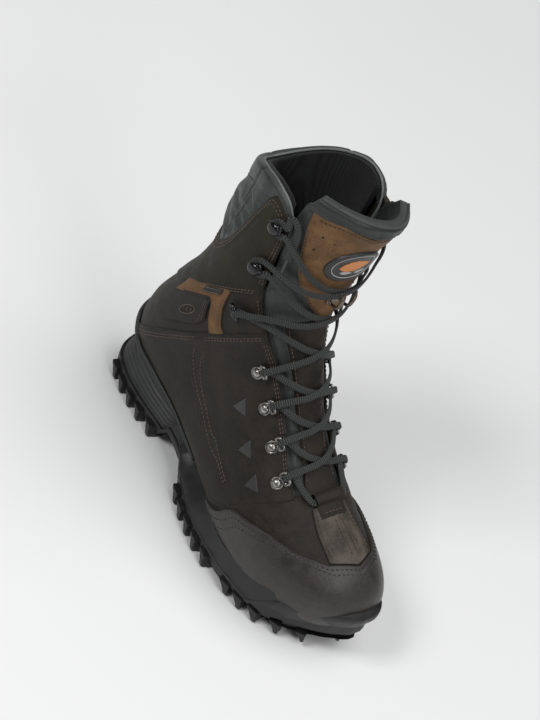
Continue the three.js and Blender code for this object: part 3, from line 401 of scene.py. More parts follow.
area_light("key", (-.5, -1.5, 1.9), (0, 0, .12), .7, 24)
area_light("fill", (1.6, -.3, 1.3), (.05, 0, .1), .8, 9)
overhead = bpy.data.objects.new("overhead", bpy.data.lights.new("overhead", "SUN"))
overhead.data.energy, overhead.data.angle = 1.75, math.radians(55)
overhead.rotation_euler = (math.radians(-12), math.radians(14), 0)
bpy.context.collection.objects.link(overhead)
world = bpy.data.worlds.new("studio")
world.use_nodes = True
world.node_tree.nodes["Background"].inputs[0].default_value = (.93, .94, .95, 1)
world.node_tree.nodes["Background"].inputs[1].default_value = .17
bpy.context.scene.world = world
bpy.context.scene.view_settings.view_transform = "Standard"


# ------------------------------------------------------------------ materials
class Nodes:
    """Short names for the shader nodes used below. Texture places are the surface's own points at rest, in
    mm."""

    def __init__(self, name, local=True):
        self.material = bpy.data.materials.new(name)
        self.material.use_nodes = True
        self.tree = self.material.node_tree
        self.shader = self.tree.nodes["Principled BSDF"]
        if local:
            spot = self.tree.nodes.new("ShaderNodeAttribute")
            spot.attribute_name = "rest_mm"
            self.spot = spot.outputs["Vector"]
        else:
            coords = self.tree.nodes.new("ShaderNodeTexCoord")
            self.spot = self.vector("SCALE", coords.outputs["Object"], scale=1000)

    def put(self, socket, value):
        if isinstance(value, bpy.types.NodeSocket):
            self.tree.links.new(value, socket)
        elif isinstance(value, tuple) and socket.type == "RGBA":
            socket.default_value = (*value, 1) if len(value) == 3 else value
        else:
            socket.default_value = value

    def set(self, **values):
        for key, value in values.items():
            self.put(self.shader.inputs[key.replace("_", " ")], value)

    def vector(self, operation, a, b=None, scale=None):
        node = self.tree.nodes.new("ShaderNodeVectorMath")
        node.operation = operation
        self.put(node.inputs[0], a)
        if b is not None:
            self.put(node.inputs[1], b)
        if scale is not None:
            self.put(node.inputs["Scale"], scale)
        return node.outputs[1] if operation in ("LENGTH", "DISTANCE", "DOT_PRODUCT") else node.outputs[0]

    def math(self, operation, a, b=0.0, c=0.0):
        node = self.tree.nodes.new("ShaderNodeMath")
        node.operation = operation
        for socket, value in zip(node.inputs, (a, b, c)):
            self.put(socket, value)
        return node.outputs[0]

    def attribute(self, name):
        node = self.tree.nodes.new("ShaderNodeAttribute")
        node.attribute_name = name
        return node.outputs["Fac"]

    def noise(self, size, detail=4, rough=.55, stretch=None, warp=0):
        place = self.spot
        if stretch:
            place = self.vector("MULTIPLY", place, stretch)
        node = self.tree.nodes.new("ShaderNodeTexNoise")
        self.put(node.inputs["Vector"], place)
        self.put(node.inputs["Scale"], 1 / size)
        self.put(node.inputs["Detail"], detail)
        self.put(node.inputs["Roughness"], rough)
        self.put(node.inputs["Distortion"], warp)
        return node.outputs["Fac"]

    def cells(self, size):
        node = self.tree.nodes.new("ShaderNodeTexVoronoi")
        self.put(node.inputs["Vector"], self.spot)
        self.put(node.inputs["Scale"], 1 / size)
        return node.outputs["Distance"]

    def ramp(self, x, a, b, low=0.0, high=1.0, smooth=True):
        node = self.tree.nodes.new("ShaderNodeMapRange")
        node.interpolation_type = "SMOOTHSTEP" if smooth else "LINEAR"
        for socket, value in zip(node.inputs, (x, a, b, low, high)):
            self.put(socket, value)
        return node.outputs[0]

    def mix(self, share, a, b):
        node = self.tree.nodes.new("ShaderNodeMix")
        node.data_type = "RGBA"
        self.put(node.inputs[0], share)
        self.put(node.inputs[6], a)
        self.put(node.inputs[7], b)
        return node.outputs[2]

    def bump(self, height, distance, strength=1.0):
        node = self.tree.nodes.new("ShaderNodeBump")
        self.put(node.inputs["Strength"], strength)
        self.put(node.inputs["Distance"], distance * .001)
        self.put(node.inputs["Height"], height)
        return node.outputs[0]


def leather(name, dark, light, rough=(.5, .72), grain=.55, grain_size=.9, sheen=.04, worn=None, mottle=34,
            scuff=.35, edge_dark=.45, local=True, spec=.24):
    n = Nodes(name, local)
    big = n.noise(mottle, 5, .6, warp=.6)
    mid = n.noise(7, 4, .6)
    share = n.math("MULTIPLY_ADD", n.math("SUBTRACT", mid, .5), .5, big)
    colour = n.mix(n.ramp(share, .3, .74), dark, light)
    nap = n.noise(1.1, 3, .7)
    colour = n.mix(n.ramp(nap, .35, .75, 0, .28), colour, tuple(c * 1.7 + .004 for c in light))
    pores = n.cells(grain_size)
    wear_tone = worn or tuple(c * 1.8 + .012 for c in light)
    scratch = n.noise(3.2, 6, .75, stretch=(1, .35, .5), warp=1.2)
    colour = n.mix(n.ramp(scratch, .62, .8, 0, scuff), colour, wear_tone)
    if local:
        edge = n.attribute("edge_mm")
        rag = n.math("ADD", edge, n.math("MULTIPLY", n.math("SUBTRACT", n.noise(2.2, 4), .5), 1.6))
        colour = n.mix(n.ramp(rag, .1, 1.0, .5, 0), colour, wear_tone)
        colour = n.mix(n.ramp(edge, 0, 4.5, edge_dark, 0), colour, tuple(c * .35 for c in dark))
    roughness = n.ramp(n.math("ADD", n.math("MULTIPLY", big, .5), n.math("MULTIPLY", mid, .5)), .3, .7,
                       *rough)
    n.set(Base_Color=colour, Roughness=roughness, IOR=1.45, Sheen_Weight=sheen, Sheen_Roughness=.45,
          Specular_IOR_Level=spec)
    crease = n.noise(5.5, 6, .62, warp=.8)
    height = n.math("ADD", n.math("MULTIPLY", pores, .5 * grain), n.math("MULTIPLY", crease, .9))
    height = n.math("ADD", height, n.math("MULTIPLY", nap, .25))
    n.set(Normal=n.bump(height, .42, .75))
    return n.material


BROWN = leather("oiled_brown_leather", (.0078, .0064, .0046), (.0235, .0194, .0142), worn=(.078, .064, .048))
OLIVE = leather("olive_leather", (.0072, .0066, .003), (.0205, .0186, .0088), worn=(.06, .052, .03),
                rough=(.55, .78))
WORN = leather("worn_leather", (.026, .0215, .017), (.092, .077, .062), worn=(.18, .15, .12), mottle=20,
               scuff=.6)
SMOOTH = leather("rand_leather", (.0165, .0148, .0128), (.034, .0305, .027), rough=(.33, .48), grain=.3,
                 grain_size=.6,
                 sheen=.02, worn=(.09, .08, .07), spec=.5)
GREY = leather("grey_leather", (.0105, .0122, .012), (.027, .0305, .0298), rough=(.42, .6), grain=.35,
               grain_size=.7,
               sheen=.05, worn=(.13, .14, .14), spec=.5)
TAN = leather("tan_leather", (.088, .045, .0175), (.175, .095, .042), rough=(.7, .88), grain=.3,
              grain_size=.7, sheen=.08,
              worn=(.27, .165, .085), mottle=26, scuff=.3, edge_dark=.25)


def rubber():
    n = Nodes("sole_rubber")
    dust = n.noise(16, 6, .7)
    colour = n.mix(n.ramp(dust, .4, .75), (.0075, .0075, .0075), (.019, .0187, .0183))
    # Lighter grey within about 1.5 mm of an edge: a painted highlight along the top lip of the sole wall, and real
    # scuffed wear on the lugs' ground edges.
    edge = n.attribute("edge_mm")
    colour = n.mix(n.ramp(n.math("ADD", edge, n.math("MULTIPLY", n.noise(3, 4), 1.2)), .4, 1.5, .5, 0),
                   colour, (.12, .12, .118))
    n.set(Base_Color=colour, Roughness=n.ramp(dust, .3, .7, .36, .55), Specular_IOR_Level=.4)
    n.set(Normal=n.bump(n.math("ADD", n.noise(.8, 3), n.math("MULTIPLY", n.noise(6, 4), .8)), .12, .6))
    return n.material


def foam():
    n = Nodes("midsole_foam")
    dust = n.noise(12, 5, .65)
    rib = n.attribute("rib")
    colour = n.mix(n.ramp(dust, .35, .7), (.018, .0185, .019), (.042, .0425, .043))
    colour = n.mix(n.ramp(rib, -.2, .9, .65, 0), colour, (.009, .009, .009))
    n.set(Base_Color=colour, Roughness=n.ramp(dust, .3, .7, .48, .66))
    n.set(Normal=n.bump(n.noise(.9, 4, .7), .12, .5))
    return n.material


def thread(name, tone):
    n = Nodes(name)
    twist = n.noise(.5, 3, .6)
    n.set(Base_Color=n.mix(n.ramp(twist, .35, .65), tuple(c * .55 for c in tone), tone), Roughness=.62,
          Sheen_Weight=.2)
    n.set(Normal=n.bump(twist, .15, .8))
    return n.material


def metal(name, dark, light, rough, local=True, wear=(.6, .58, .55)):
    n = Nodes(name, local)
    spots = n.noise(2.6, 6, .7)
    fine = n.noise(.5, 4, .7)
    colour = n.mix(n.ramp(spots, .38, .66), dark, light)
    colour = n.mix(n.ramp(n.noise(4, 6, .8, warp=1.5), .6, .72, 0, .55), colour, wear)
    n.set(Base_Color=colour, Metallic=1.0,
          Roughness=n.ramp(n.math("ADD", spots, n.math("MULTIPLY", fine, .4)), .4, .95, *rough))
    n.set(Normal=n.bump(n.math("ADD", fine, spots), .06, .4))
    return n.material


def braid():
    n = Nodes("lace_braid")
    coords = n.tree.nodes.new("ShaderNodeUVMap")
    coords.uv_map = "UVMap"
    parts = n.tree.nodes.new("ShaderNodeSeparateXYZ")
    n.put(parts.inputs[0], coords.outputs[0])
    along, across = parts.outputs[0], parts.outputs[1]
    slope = n.math("PINGPONG", n.math("MULTIPLY", across, 1.0), .9)
    wave = n.math("SINE", n.math("MULTIPLY",
                                 n.math("ADD", n.math("MULTIPLY", along, 1.0),
                                        n.math("MULTIPLY", slope, 1.0)), 2 * math.pi / 1.7))
    cross = n.math("SINE", n.math("MULTIPLY", across, 2 * math.pi / .9))
    height = n.math("ADD", n.ramp(wave, -.9, .9), n.math("MULTIPLY", n.ramp(cross, -.9, .9), .35))
    fuzz = n.noise(.45, 3, .7)
    # The tone follows the braid's relief: painted shade in the hollows between the strands and a painted highlight on
    # their crowns. The lighter flecks are fibre fuzz.
    tone = n.mix(n.ramp(height, .1, 1.1), (.0025, .0026, .0028), (.058, .061, .06))
    tone = n.mix(n.ramp(fuzz, .55, .8, 0, .25), tone, (.07, .072, .072))
    n.set(Base_Color=tone, Roughness=.8, Sheen_Weight=.06, Specular_IOR_Level=.3)
    n.set(Normal=n.bump(n.math("ADD", height, n.math("MULTIPLY", fuzz, .3)), .28, .9))
    return n.material


def cloth(name, dark, light, pitch, rough=.9, local=True):
    n = Nodes(name, local)
    parts = n.tree.nodes.new("ShaderNodeSeparateXYZ")
    n.put(parts.inputs[0], n.spot)
    x, y, z = parts.outputs
    k = 2 * math.pi / pitch
    a = n.math("SINE", n.math("MULTIPLY", n.math("ADD", x, z), k))
    b = n.math("SINE", n.math("MULTIPLY", n.math("ADD", y, n.math("MULTIPLY", z, .9)), k))
    weave = n.ramp(n.math("MULTIPLY", a, b), -.8, .8)
    fuzz = n.noise(pitch * .8, 4, .7)
    patch = n.noise(14, 4)
    colour = n.mix(n.math("MULTIPLY", weave, n.ramp(patch, .2, .8, .6, 1)), dark, light)
    n.set(Base_Color=colour, Roughness=rough, Sheen_Weight=.08, Specular_IOR_Level=.2)
    n.set(Normal=n.bump(n.math("ADD", weave, fuzz), .3, .8))
    return n.material


def plain(name, low, high, rough, size=3, bump=.2, metallic=0.0, local=True, sheen=0.0):
    n = Nodes(name, local)
    noise = n.noise(size, 5, .65)
    n.set(Base_Color=n.mix(n.ramp(noise, .3, .7), low, high), Roughness=n.ramp(noise, .3, .7, *rough),
          Metallic=metallic,
          Sheen_Weight=sheen)
    n.set(Normal=n.bump(n.math("ADD", noise, n.math("MULTIPLY", n.noise(size / 5, 3), .5)), bump, .6))
    return n.material


RUBBER = rubber()
FOAM = foam()
THREAD = thread("red_brown_thread", (.105, .055, .04))
DARK_THREAD = thread("dark_thread", (.0075, .0058, .005))
GREY_THREAD = thread("grey_thread", (.045, .048, .046))
GUNMETAL = metal("worn_gunmetal", (.13, .127, .12), (.34, .33, .31), (.22, .38))
SILVER = metal("rivet_silver", (.22, .215, .2), (.42, .41, .39), (.24, .4))
BLACKED = metal("blackened_metal", (.03, .03, .032), (.065, .065, .068), (.14, .24), wear=(.12, .12, .12))
BRONZED = metal("keeper_metal", (.09, .072, .058), (.22, .185, .15), (.2, .38), wear=(.4, .36, .32))
LACE = braid()
LINING = cloth("lining_fabric", (.004, .0042, .0044), (.018, .0185, .019), 1.4)
FELT = plain("footbed_felt", (.02, .021, .021), (.05, .052, .05), (.85, .98), 1.2, .3, sheen=.4)
TAG = cloth("tag_fabric", (.012, .012, .011), (.04, .04, .036), .5)
EMBOSS = plain("embossed_leather", (.05, .036, .027), (.1, .075, .055), (.5, .7), .8, .15)
REFLECT = plain("reflective_grey", (.0145, .015, .0145), (.03, .031, .03), (.35, .5), .6, .08)
BADGE = plain("badge_rubber", (.0125, .0125, .013), (.022, .022, .023), (.35, .5), 1.5, .1)
BADGE_GREY = plain("badge_ring", (.3, .3, .3), (.42, .42, .42), (.4, .55), 1, .06)
BADGE_RUST = plain("badge_motif", (.5, .17, .04), (.68, .27, .08), (.45, .6), 1, .06)
# Dark discs for the tongue's perforations: the darker leather beneath, and painted shade inside each hole.
HOLE = plain("perforation", (.01, .006, .004), (.02, .012, .008), (.8, .95), .6, .1)


def floor_material():
    n = Nodes("floor", local=False)
    tone = n.noise(220, 3, .5)
    n.set(Base_Color=n.mix(tone, (.77, .772, .775), (.79, .792, .795)), Roughness=.75)
    return n.material


floor_mesh = bpy.data.meshes.new("floor")
floor_mesh.from_pydata([(-4, -4, 0), (4, -4, 0), (4, 4, 0), (-4, 4, 0)], [], [(0, 1, 2, 3)])
floor_mesh.materials.append(floor_material())
floor = bpy.data.objects.new("floor", floor_mesh)
bpy.context.collection.objects.link(floor)
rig.stage(floor)


# ------------------------------------------------------------------ mesh makers
class Bag:
    """Collects quads and makes one object of them."""

    def __init__(self):
        self.points, self.faces, self.edge, self.extra, self.uv, self.slots = [], [], [], [], [], []
        self.count = 0

    def add(self, points, faces, edge=None, extra=None, uv=None, slot=0):
        points = np.asarray(points, float).reshape(-1, 3)
        faces = np.asarray(faces, int).reshape(-1, 4)
        self.points.append(points)
        self.faces.append(faces + self.count)
        self.edge.append(np.full(len(points), FAR_FROM_EDGE) if edge is None
                         else np.asarray(edge, float).ravel())
        self.extra.append(np.zeros(len(points)) if extra is None else np.asarray(extra, float).ravel())
        self.uv.append(np.zeros((len(points), 2)) if uv is None else np.asarray(uv, float).reshape(-1, 2))
        self.slots.append(np.full(len(faces), slot))
        self.count += len(points)

    def make(self, name, materials, finish, body=None, replaces=(), extra_name=None, crisp=None):
        points = np.concatenate(self.points)
        faces = np.concatenate(self.faces)
        mesh = bpy.data.meshes.new(name)
        mesh.vertices.add(len(points))
        mesh.vertices.foreach_set("co", row(points).astype(np.float32).ravel())
        mesh.loops.add(faces.size)
        mesh.loops.foreach_set("vertex_index", faces.ravel().astype(np.int32))
        mesh.polygons.add(len(faces))
        mesh.polygons.foreach_set("loop_start", np.arange(0, faces.size, 4, dtype=np.int32))
        for material in materials if isinstance(materials, (list, tuple)) else [materials]:
            mesh.materials.append(material)
        mesh.polygons.foreach_set("material_index", np.concatenate(self.slots).astype(np.int32))
        mesh.update()
        mesh.attributes.new("rest_mm", "FLOAT_VECTOR", "POINT").data.foreach_set("vector",
                                                            points.astype(np.float32).ravel())
        mesh.attributes.new("edge_mm", "FLOAT", "POINT").data.foreach_set("value",
                                                            np.concatenate(self.edge).astype(np.float32))
        if extra_name:
            mesh.attributes.new(extra_name, "FLOAT", "POINT").data.foreach_set("value",
                                                            np.concatenate(self.extra).astype(np.float32))
        uv = np.concatenate(self.uv)[faces.ravel()]
        mesh.uv_layers.new(name="UVMap").data.foreach_set("uv", uv.astype(np.float32).ravel())
        mesh.polygons.foreach_set("use_smooth", np.full(len(faces), True))
        mesh.validate()
        if crisp:
            mesh.set_sharp_from_angle(angle=math.radians(crisp))
        thing = bpy.data.objects.new(name, mesh)
        bpy.context.collection.objects.link(thing)
        if finish:
            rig.slot(thing, finish)
        if replaces:
            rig.replaces(thing, *replaces)
        if body:
            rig.ride(thing, body)
        return thing


def orient(points, faces):
    tri = points[faces[:, :3]]
    tri2 = points[faces[:, [0, 2, 3]]]
    volume = np.einsum("ij,ij->i", tri[:, 0], np.cross(tri[:, 1], tri[:, 2])).sum()
    volume += np.einsum("ij,ij->i", tri2[:, 0], np.cross(tri2[:, 1], tri2[:, 2])).sum()
    return faces[:, ::-1] if volume < 0 else faces


def grid_faces(n, m, start=0, loop=False):
    i, j = np.meshgrid(np.arange(n - 1), np.arange(m if loop else m - 1), indexing="ij")
    a = start + i * m + j
    b = start + i * m + (j + 1) % m
    return np.stack([a, b, b + m, a + m], -1).reshape(-1, 4)


def spread(length, step, near, far):
    """Places from 0 to 1 along a side, closer together at an edge that is rounded."""
    marks = np.array([0, .25, .55, 1, 1.8])
    first = marks * near if near else np.array([0.0])
    last = marks * far if far else np.array([0.0])
    room = max(length - first[-1] - last[-1], .1)
    middle = np.linspace(first[-1], length - last[-1], max(int(room / step), 2) + 1)
    if first[-1] + last[-1] > .8 * length:
        return np.linspace(0, 1, 7)
    return np.concatenate([first[:-1], middle, (length - last[:-1])[::-1]]) / length


def lengths(points, axis):
    d = np.linalg.norm(np.diff(points, axis=axis), axis=-1)
    total = np.cumsum(d, axis=axis)
    zero = np.zeros_like(np.take(total, [0], axis=axis))
    return np.concatenate([zero, total], axis=axis)


def slab(bag, place, low, high, step=2.0, rounds=(.8, .8, .8, .8), place_fn=None, swell=0.0, waves=0.0,
         seed=0,
         shape=None, slot=0, extra=None):
    """A panel of even thickness on the form. place(u, v) gives section and angle; rounds are the edge radii
    at u = 0, u = 1, v = 0, v = 1, where 0 leaves an edge square, as where it is sewn under a neighbour."""
    put = place_fn or on
    cu, cv = np.meshgrid(np.linspace(0, 1, 25), np.linspace(0, 1, 25), indexing="ij")
    t, th = place(cu, cv)
    coarse = put(t, th, np.zeros_like(cu))
    long_u = np.median(lengths(coarse, 0)[-1])
    long_v = np.median(lengths(coarse, 1)[:, -1])
    us = spread(long_u, step, rounds[0], rounds[1])
    vs = spread(long_v, step, rounds[2], rounds[3])
    u, v = np.meshgrid(us, vs, indexing="ij")
    t, th = place(u, v)
    t, th = np.broadcast_arrays(np.asarray(t, float), np.asarray(th, float))
    base = put(t, th, np.zeros_like(u))
    along, across = lengths(base, 0), lengths(base, 1)
    away = [along, along[-1:] - along, across, across[:, -1:] - across]
    edge = np.full(u.shape, FAR_FROM_EDGE)
    drop = np.zeros_like(u)
    for distance, r in zip(away, rounds):
        if r > 0:
            edge = np.minimum(edge, distance)
            fall = r - np.sqrt(np.maximum(r * r - np.maximum(r - distance, 0) ** 2, 0))
            drop = np.maximum(drop, fall)
    top = (high(t, th) if callable(high) else np.full(u.shape, float(high)))
    bottom = (low(t, th) if callable(low) else np.full(u.shape, float(low)))
    top = top + waves * lumps(base, 30, seed) + swell * np.sin(math.pi * u) * np.sin(math.pi * v)
    if shape is not None:
        top = top + shape(u, v, t, th, edge)
    top = np.maximum(top - drop, bottom + .05)
    outer, inner = put(t, th, top), put(t, th, bottom)
    n, m = u.shape
    points = np.concatenate([outer.reshape(-1, 3), inner.reshape(-1, 3)])
    size = n * m
    faces = [grid_faces(n, m), grid_faces(n, m, size)[:, ::-1]]
    for j0 in (0, m - 1):
        i = np.arange(n - 1) * m + j0
        wall = np.stack([i, i + m, size + i + m, size + i], -1)
        faces.append(wall if j0 == 0 else wall[:, ::-1])
    for i0 in (0, n - 1):
        j = i0 * m + np.arange(m - 1)
        wall = np.stack([j, size + j, size + j + 1, j + 1], -1)
        faces.append(wall if i0 == 0 else wall[:, ::-1])
    faces = orient(points, np.concatenate(faces))
    uv = np.stack([across, along], -1).reshape(-1, 2)
    more = None if extra is None else np.tile(extra(u, v, t, th).ravel(), 2)
    bag.add(points, faces, np.tile(edge.ravel(), 2), more, np.tile(uv, (2, 1)), slot)
    return bag


def tube(bag, points, radius, sides=8, closed=False, across=None, profile=None, slot=0):
    """Sweeps a round or given profile along points. radius may change along the line."""
    p = np.asarray(points, float)
    n = len(p)
    if closed:
        tangent = unit(np.roll(p, -1, 0) - np.roll(p, 1, 0))
    else:
        tangent = unit(np.gradient(p, axis=0))
    side = np.zeros_like(p)
    last = np.asarray(across[0] if across is not None else np.cross(tangent[0], [.3, .2, .93]), float)
    for i in range(n):
        want = across[i] if across is not None else last
        side[i] = want - tangent[i] * (want @ tangent[i])
        if np.linalg.norm(side[i]) < 1e-6:
            side[i] = np.cross(tangent[i], [0, 0, 1])
        side[i] /= np.linalg.norm(side[i])
        if across is not None and i and side[i] @ side[i - 1] < 0:
            side[i] = -side[i]
        last = side[i]
    up = np.cross(tangent, side)
    if profile is None:
        angle = np.arange(sides) * 2 * math.pi / sides
        profile = np.stack([np.cos(angle), np.sin(angle)], -1)
    profile = np.broadcast_to(np.asarray(profile, float), (n, *np.shape(profile)[-2:]))
    r = np.broadcast_to(np.asarray(radius, float), (n,))[:, None, None]
    rings = p[:, None] + (side[:, None] * profile[..., :1] + up[:, None] * profile[..., 1:]) * r
    m = rings.shape[1]
    if closed:
        rings = np.concatenate([rings, rings[:1]])
    else:
        rings = np.concatenate([rings[:1] * 0 + p[0], rings, rings[:1] * 0 + p[-1]])
    run = np.concatenate([[0], np.cumsum(np.linalg.norm(np.diff(rings.mean(1), axis=0), axis=1))])
    girth = np.linspace(0, 1, m, endpoint=False) * 2 * math.pi * float(np.mean(r))
    uv = np.stack(np.broadcast_arrays(run[:, None], girth[None]), -1)
    faces = grid_faces(len(rings), m, loop=True)
    flat = rings.reshape(-1, 3)
    bag.add(flat, orient(flat, faces), uv=uv, slot=slot)
    return bag


def resample(points, step):
    p = np.asarray(points, float)
    s = np.concatenate([[0], np.cumsum(np.linalg.norm(np.diff(p, axis=0), axis=1))])
    count = max(int(s[-1] / step), 2)
    at = np.linspace(0, s[-1], count + 1)
    return np.stack([np.interp(at, s, p[:, k]) for k in range(p.shape[1])], -1)


def smooth_line(points, per=8):
    """Catmull-Rom through points, evenly spread over its spans."""
    p = np.asarray(points, float)
    return spline(p, np.linspace(0, len(p) - 1, (len(p) - 1) * per + 1))


def stitches(bag, line, put, lift, pitch=3.3, length=2.35, radius=.36, slot=0):
    """A row of stitches along line, which is a list of (section, angle), lying just proud of the leather."""
    line = np.asarray(line, float)
    fine = spline(line, np.linspace(0, len(line) - 1, max((len(line) - 1) * 30, 60)))
    centre = put(fine[:, 0], fine[:, 1], np.full(len(fine), 0.0))
    s = np.concatenate([[0], np.cumsum(np.linalg.norm(np.diff(centre, axis=0), axis=1))])
    count = int((s[-1] - length) / pitch)
    if count < 1:
        return
    start = (s[-1] - (count - 1) * pitch - length) / 2 + np.arange(count) * pitch
    marks = np.array([0, .12, .5, .88, 1]) * length
    at = (start[:, None] + marks).ravel()
    t, th = np.interp(at, s, fine[:, 0]), np.interp(at, s, fine[:, 1])
    rise = np.tile(np.array([-.35, .05, .17, .05, -.35]), count)
    height = lift(t, th) if callable(lift) else lift
    p = put(t, th, height + rise)
    up = unit(put(t, th, height + rise + 1) - p)
    p = p.reshape(count, 5, 3)
    up = up.reshape(count, 5, 3)
    tangent = unit(p[:, -1] - p[:, 0])[:, None]
    side = unit(np.cross(tangent, up))
    angle = np.arange(6) * math.pi / 3
    r = np.array([.3, .85, 1, .85, .3])[None, :, None, None] * radius
    rings = p[:, :, None] + r * (side[:, :, None] * np.cos(angle)[None, None, :, None]
                                 + up[:, :, None] * np.sin(angle)[None, None, :, None])
    base = grid_faces(5, 6, loop=True)
    faces = (base[None] + (np.arange(count) * 30)[:, None, None]).reshape(-1, 4)
    bag.add(rings.reshape(-1, 3), faces[:, ::-1], slot=slot)


def puff(thing, pressure, slack_cloth, cap):
    """Blows up a padded piece as cloth. Its attribute "slack" is 0 where it is sewn and 1 where it is free,
    and its inner face is held. cap is the furthest that a point may move, in metres."""
    mesh = thing.data
    count = len(mesh.vertices)
    slack = np.zeros(count, np.float32)
    mesh.attributes["slack"].data.foreach_get("value", slack)
    slack[count // 2:] = 0
    held = thing.vertex_groups.new(name="held")
    for i in range(count):
        held.add([i], float(1 - slack[i]), "REPLACE")
    before = np.empty(count * 3, np.float32)
    mesh.vertices.foreach_get("co", before)
    cloth = thing.modifiers.new("cloth", "CLOTH")
    cloth.settings.use_pressure = True
    cloth.settings.uniform_pressure_force = pressure
    cloth.settings.vertex_group_mass = "held"
    cloth.settings.shrink_min = -slack_cloth
    cloth.settings.quality = 6
    cloth.settings.mass = .15
    cloth.settings.tension_stiffness = cloth.settings.compression_stiffness = 5
    cloth.settings.bending_stiffness = .05
    cloth.settings.effector_weights.gravity = 0
    cloth.collision_settings.use_collision = False
    cloth.point_cache.frame_start, cloth.point_cache.frame_end = 1, PUFF_FRAMES
    scene = bpy.context.scene
    for frame_number in range(1, PUFF_FRAMES + 1):
        scene.frame_set(frame_number)
    after = np.empty(count * 3, np.float32)
    thing.evaluated_get(bpy.context.evaluated_depsgraph_get()).data.vertices.foreach_get("co", after)
    thing.modifiers.remove(cloth)
    thing.vertex_groups.remove(held)
    scene.frame_set(1)
    move = (after - before).reshape(-1, 3)
    size = np.linalg.norm(move, axis=1, keepdims=True)
    print("puffed", thing.name, "mm", round(float(size.max()) * 1000, 2),
          round(float(size.mean()) * 1000, 2))
    move = move * np.minimum(1, cap / np.maximum(size, 1e-9))
    if not np.isfinite(move).all():
        raise RuntimeError("cloth failed")
    mesh.vertices.foreach_set("co", (before.reshape(-1, 3) + move).astype(np.float32).ravel())
    mesh.update()


def flap(t, th, lift):
    return lean(on(t, th, lift), t)


# ------------------------------------------------------------------ blends over the forefoot and tongue
FLEX_START, FLEX_END = row([216, 0, 60]), row([242, 0, 50])
TONGUE_START, TONGUE_STOP = row([134.4, 0, 228]), row([147, 0, 237])


def flexing(thing):
    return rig.blend(thing, "boot", "forefoot", start=FLEX_START, end=FLEX_END)


# ------------------------------------------------------------------ sole
def ground_line(x):
    return look([[0, 5], [10, 0], [88, 0], [96, 12], [122, 12], [136, 0], [262, 0], [285, 4], [308, 13]], x)


def tread_line(x):
    return ground_line(x) + LUG_HEIGHT


def undercut(x):
    return look([[215, 0], [250, 3], [285, 8], [312, 10]], x)


def midsole_floor(x):
    return np.maximum(look([[0, 17], [88, 16], [110, 20], [140, 16], [262, 15], [308, 26]], x),
                      tread_line(x) + TREAD_BASE)


def rim_line(x):
    return look([[0, 42], [30, 39], [70, 34], [110, 32], [139, 31], [169, 30], [200, 31], [225, 34],
                 [249, 38],
                 [270, 42], [290, 47], [308, 51]], x)


def bumper_line(x):
    return np.maximum(midsole_floor(x) - FIT,
                      look([[240, 10], [256, 26], [272, 40], [290, 47.5], [308, 52]], x))


ROWS = 110
share = np.linspace(0, len(PLAN) - 1, ROWS)
plan = spline(PLAN, share)
outline = np.concatenate([plan[:, [0, 1]], plan[::-1][:, [0, 2]]])
outline = resample(np.concatenate([outline, outline[:1]]), 1.6)[:-1]
tangent = unit(np.roll(outline, -2, 0) - np.roll(outline, 2, 0))
normal = np.stack([tangent[:, 1], -tangent[:, 0]], -1)
EDGE_X, EDGE_Y = outline[:, 0], outline[:, 1]

# The outside of the on, which the rubber closes against
hull_t, hull_th = np.meshgrid(np.linspace(.05, 15, 90), np.linspace(-180, 180, 121), indexing="ij")
rand_there = np.abs(hull_th) < 156
hull_lift = np.where((hull_t < look(RAND_TOP, np.abs(hull_th))) & rand_there, OVER_FIT + RAND, .1)
hull_points = on(hull_t, hull_th, hull_lift).reshape(-1, 3)
hull = BVHTree.FromPolygons([tuple(p) for p in hull_points],
                            [tuple(map(int, f)) for f in grid_faces(*hull_t.shape)])


def reach_upper(z):
    """How far in from the outline the upper begins, at height z of each station."""
    out = np.zeros(len(outline))
    for i in range(len(outline)):
        inward = Vector((-normal[i, 0], -normal[i, 1], 0))
        start = Vector((EDGE_X[i], EDGE_Y[i], z[i])) - inward * 30
        hit = hull.ray_cast(start, inward, 60)
        out[i] = min(hit[3] - 30, 14) if hit[0] is not None else 14
    kernel = np.ones(7) / 7
    return np.convolve(np.concatenate([out[-3:], out, out[:3]]), kernel, "valid")


def wall(bag, levels, slots=None, extra=None):
    """A band round the sole. Each level is (inset, height), arrays over the outline."""
    rings = []
    for inset, z in levels:
        inset = np.broadcast_to(inset, (len(outline),))
        rings.append(np.stack([EDGE_X - normal[:, 0] * inset, EDGE_Y - normal[:, 1] * inset,
                               np.broadcast_to(z, (len(outline),))], -1))
    rings = np.array(rings)
    n, m = rings.shape[:2]
    faces = grid_faces(n, m, loop=True)
    more = None if extra is None else np.array(extra).ravel()
    s = lengths(rings, 0)
    run = np.cumsum(np.linalg.norm(np.diff(outline, axis=0, prepend=outline[:1]), axis=1))
    edge = np.minimum(s[-1:] - s, FAR_FROM_EDGE)
    flat = rings.reshape(-1, 3)
    bag.add(flat, faces[:, ::-1], edge=edge, extra=more, uv=np.stack([np.broadcast_to(run, (n, m)), s], -1),
            slot=0)
    if slots is not None:
        bag.slots[-1] = slots(EDGE_X, n, m)
    return bag


X = EDGE_X
rim_z = rim_line(X)
front = ramp(X, 106, 118)
bump_in = ramp(X, 238, 262)
top_black = between(midsole_floor(X) - .2, bumper_line(X), bump_in)
low_z = tread_line(X)
high_in = reach_upper(rim_z + .6)

outsole = Bag()
tall = top_black - low_z
levels = [(6, low_z + .1), (3.0 + undercut(X), low_z), (1.7 + undercut(X), low_z + .35),
          (1.1 + undercut(X) * .86, low_z + 1.3),
          (.7 + undercut(X) * .7, low_z + .22 * tall), (.35 + undercut(X) * .45, low_z + .42 * tall),
          (.1 + undercut(X) * .16, low_z + .66 * tall), (.0, low_z + .84 * tall), (.15, low_z + .93 * tall),
          (.55, low_z + .975 * tall), (1.2, top_black), (3.4, top_black + .05),
          (between(3.4, np.maximum(high_in + 1.2, 3.6), bump_in), top_black + .3 * bump_in)]
wall(outsole, levels)
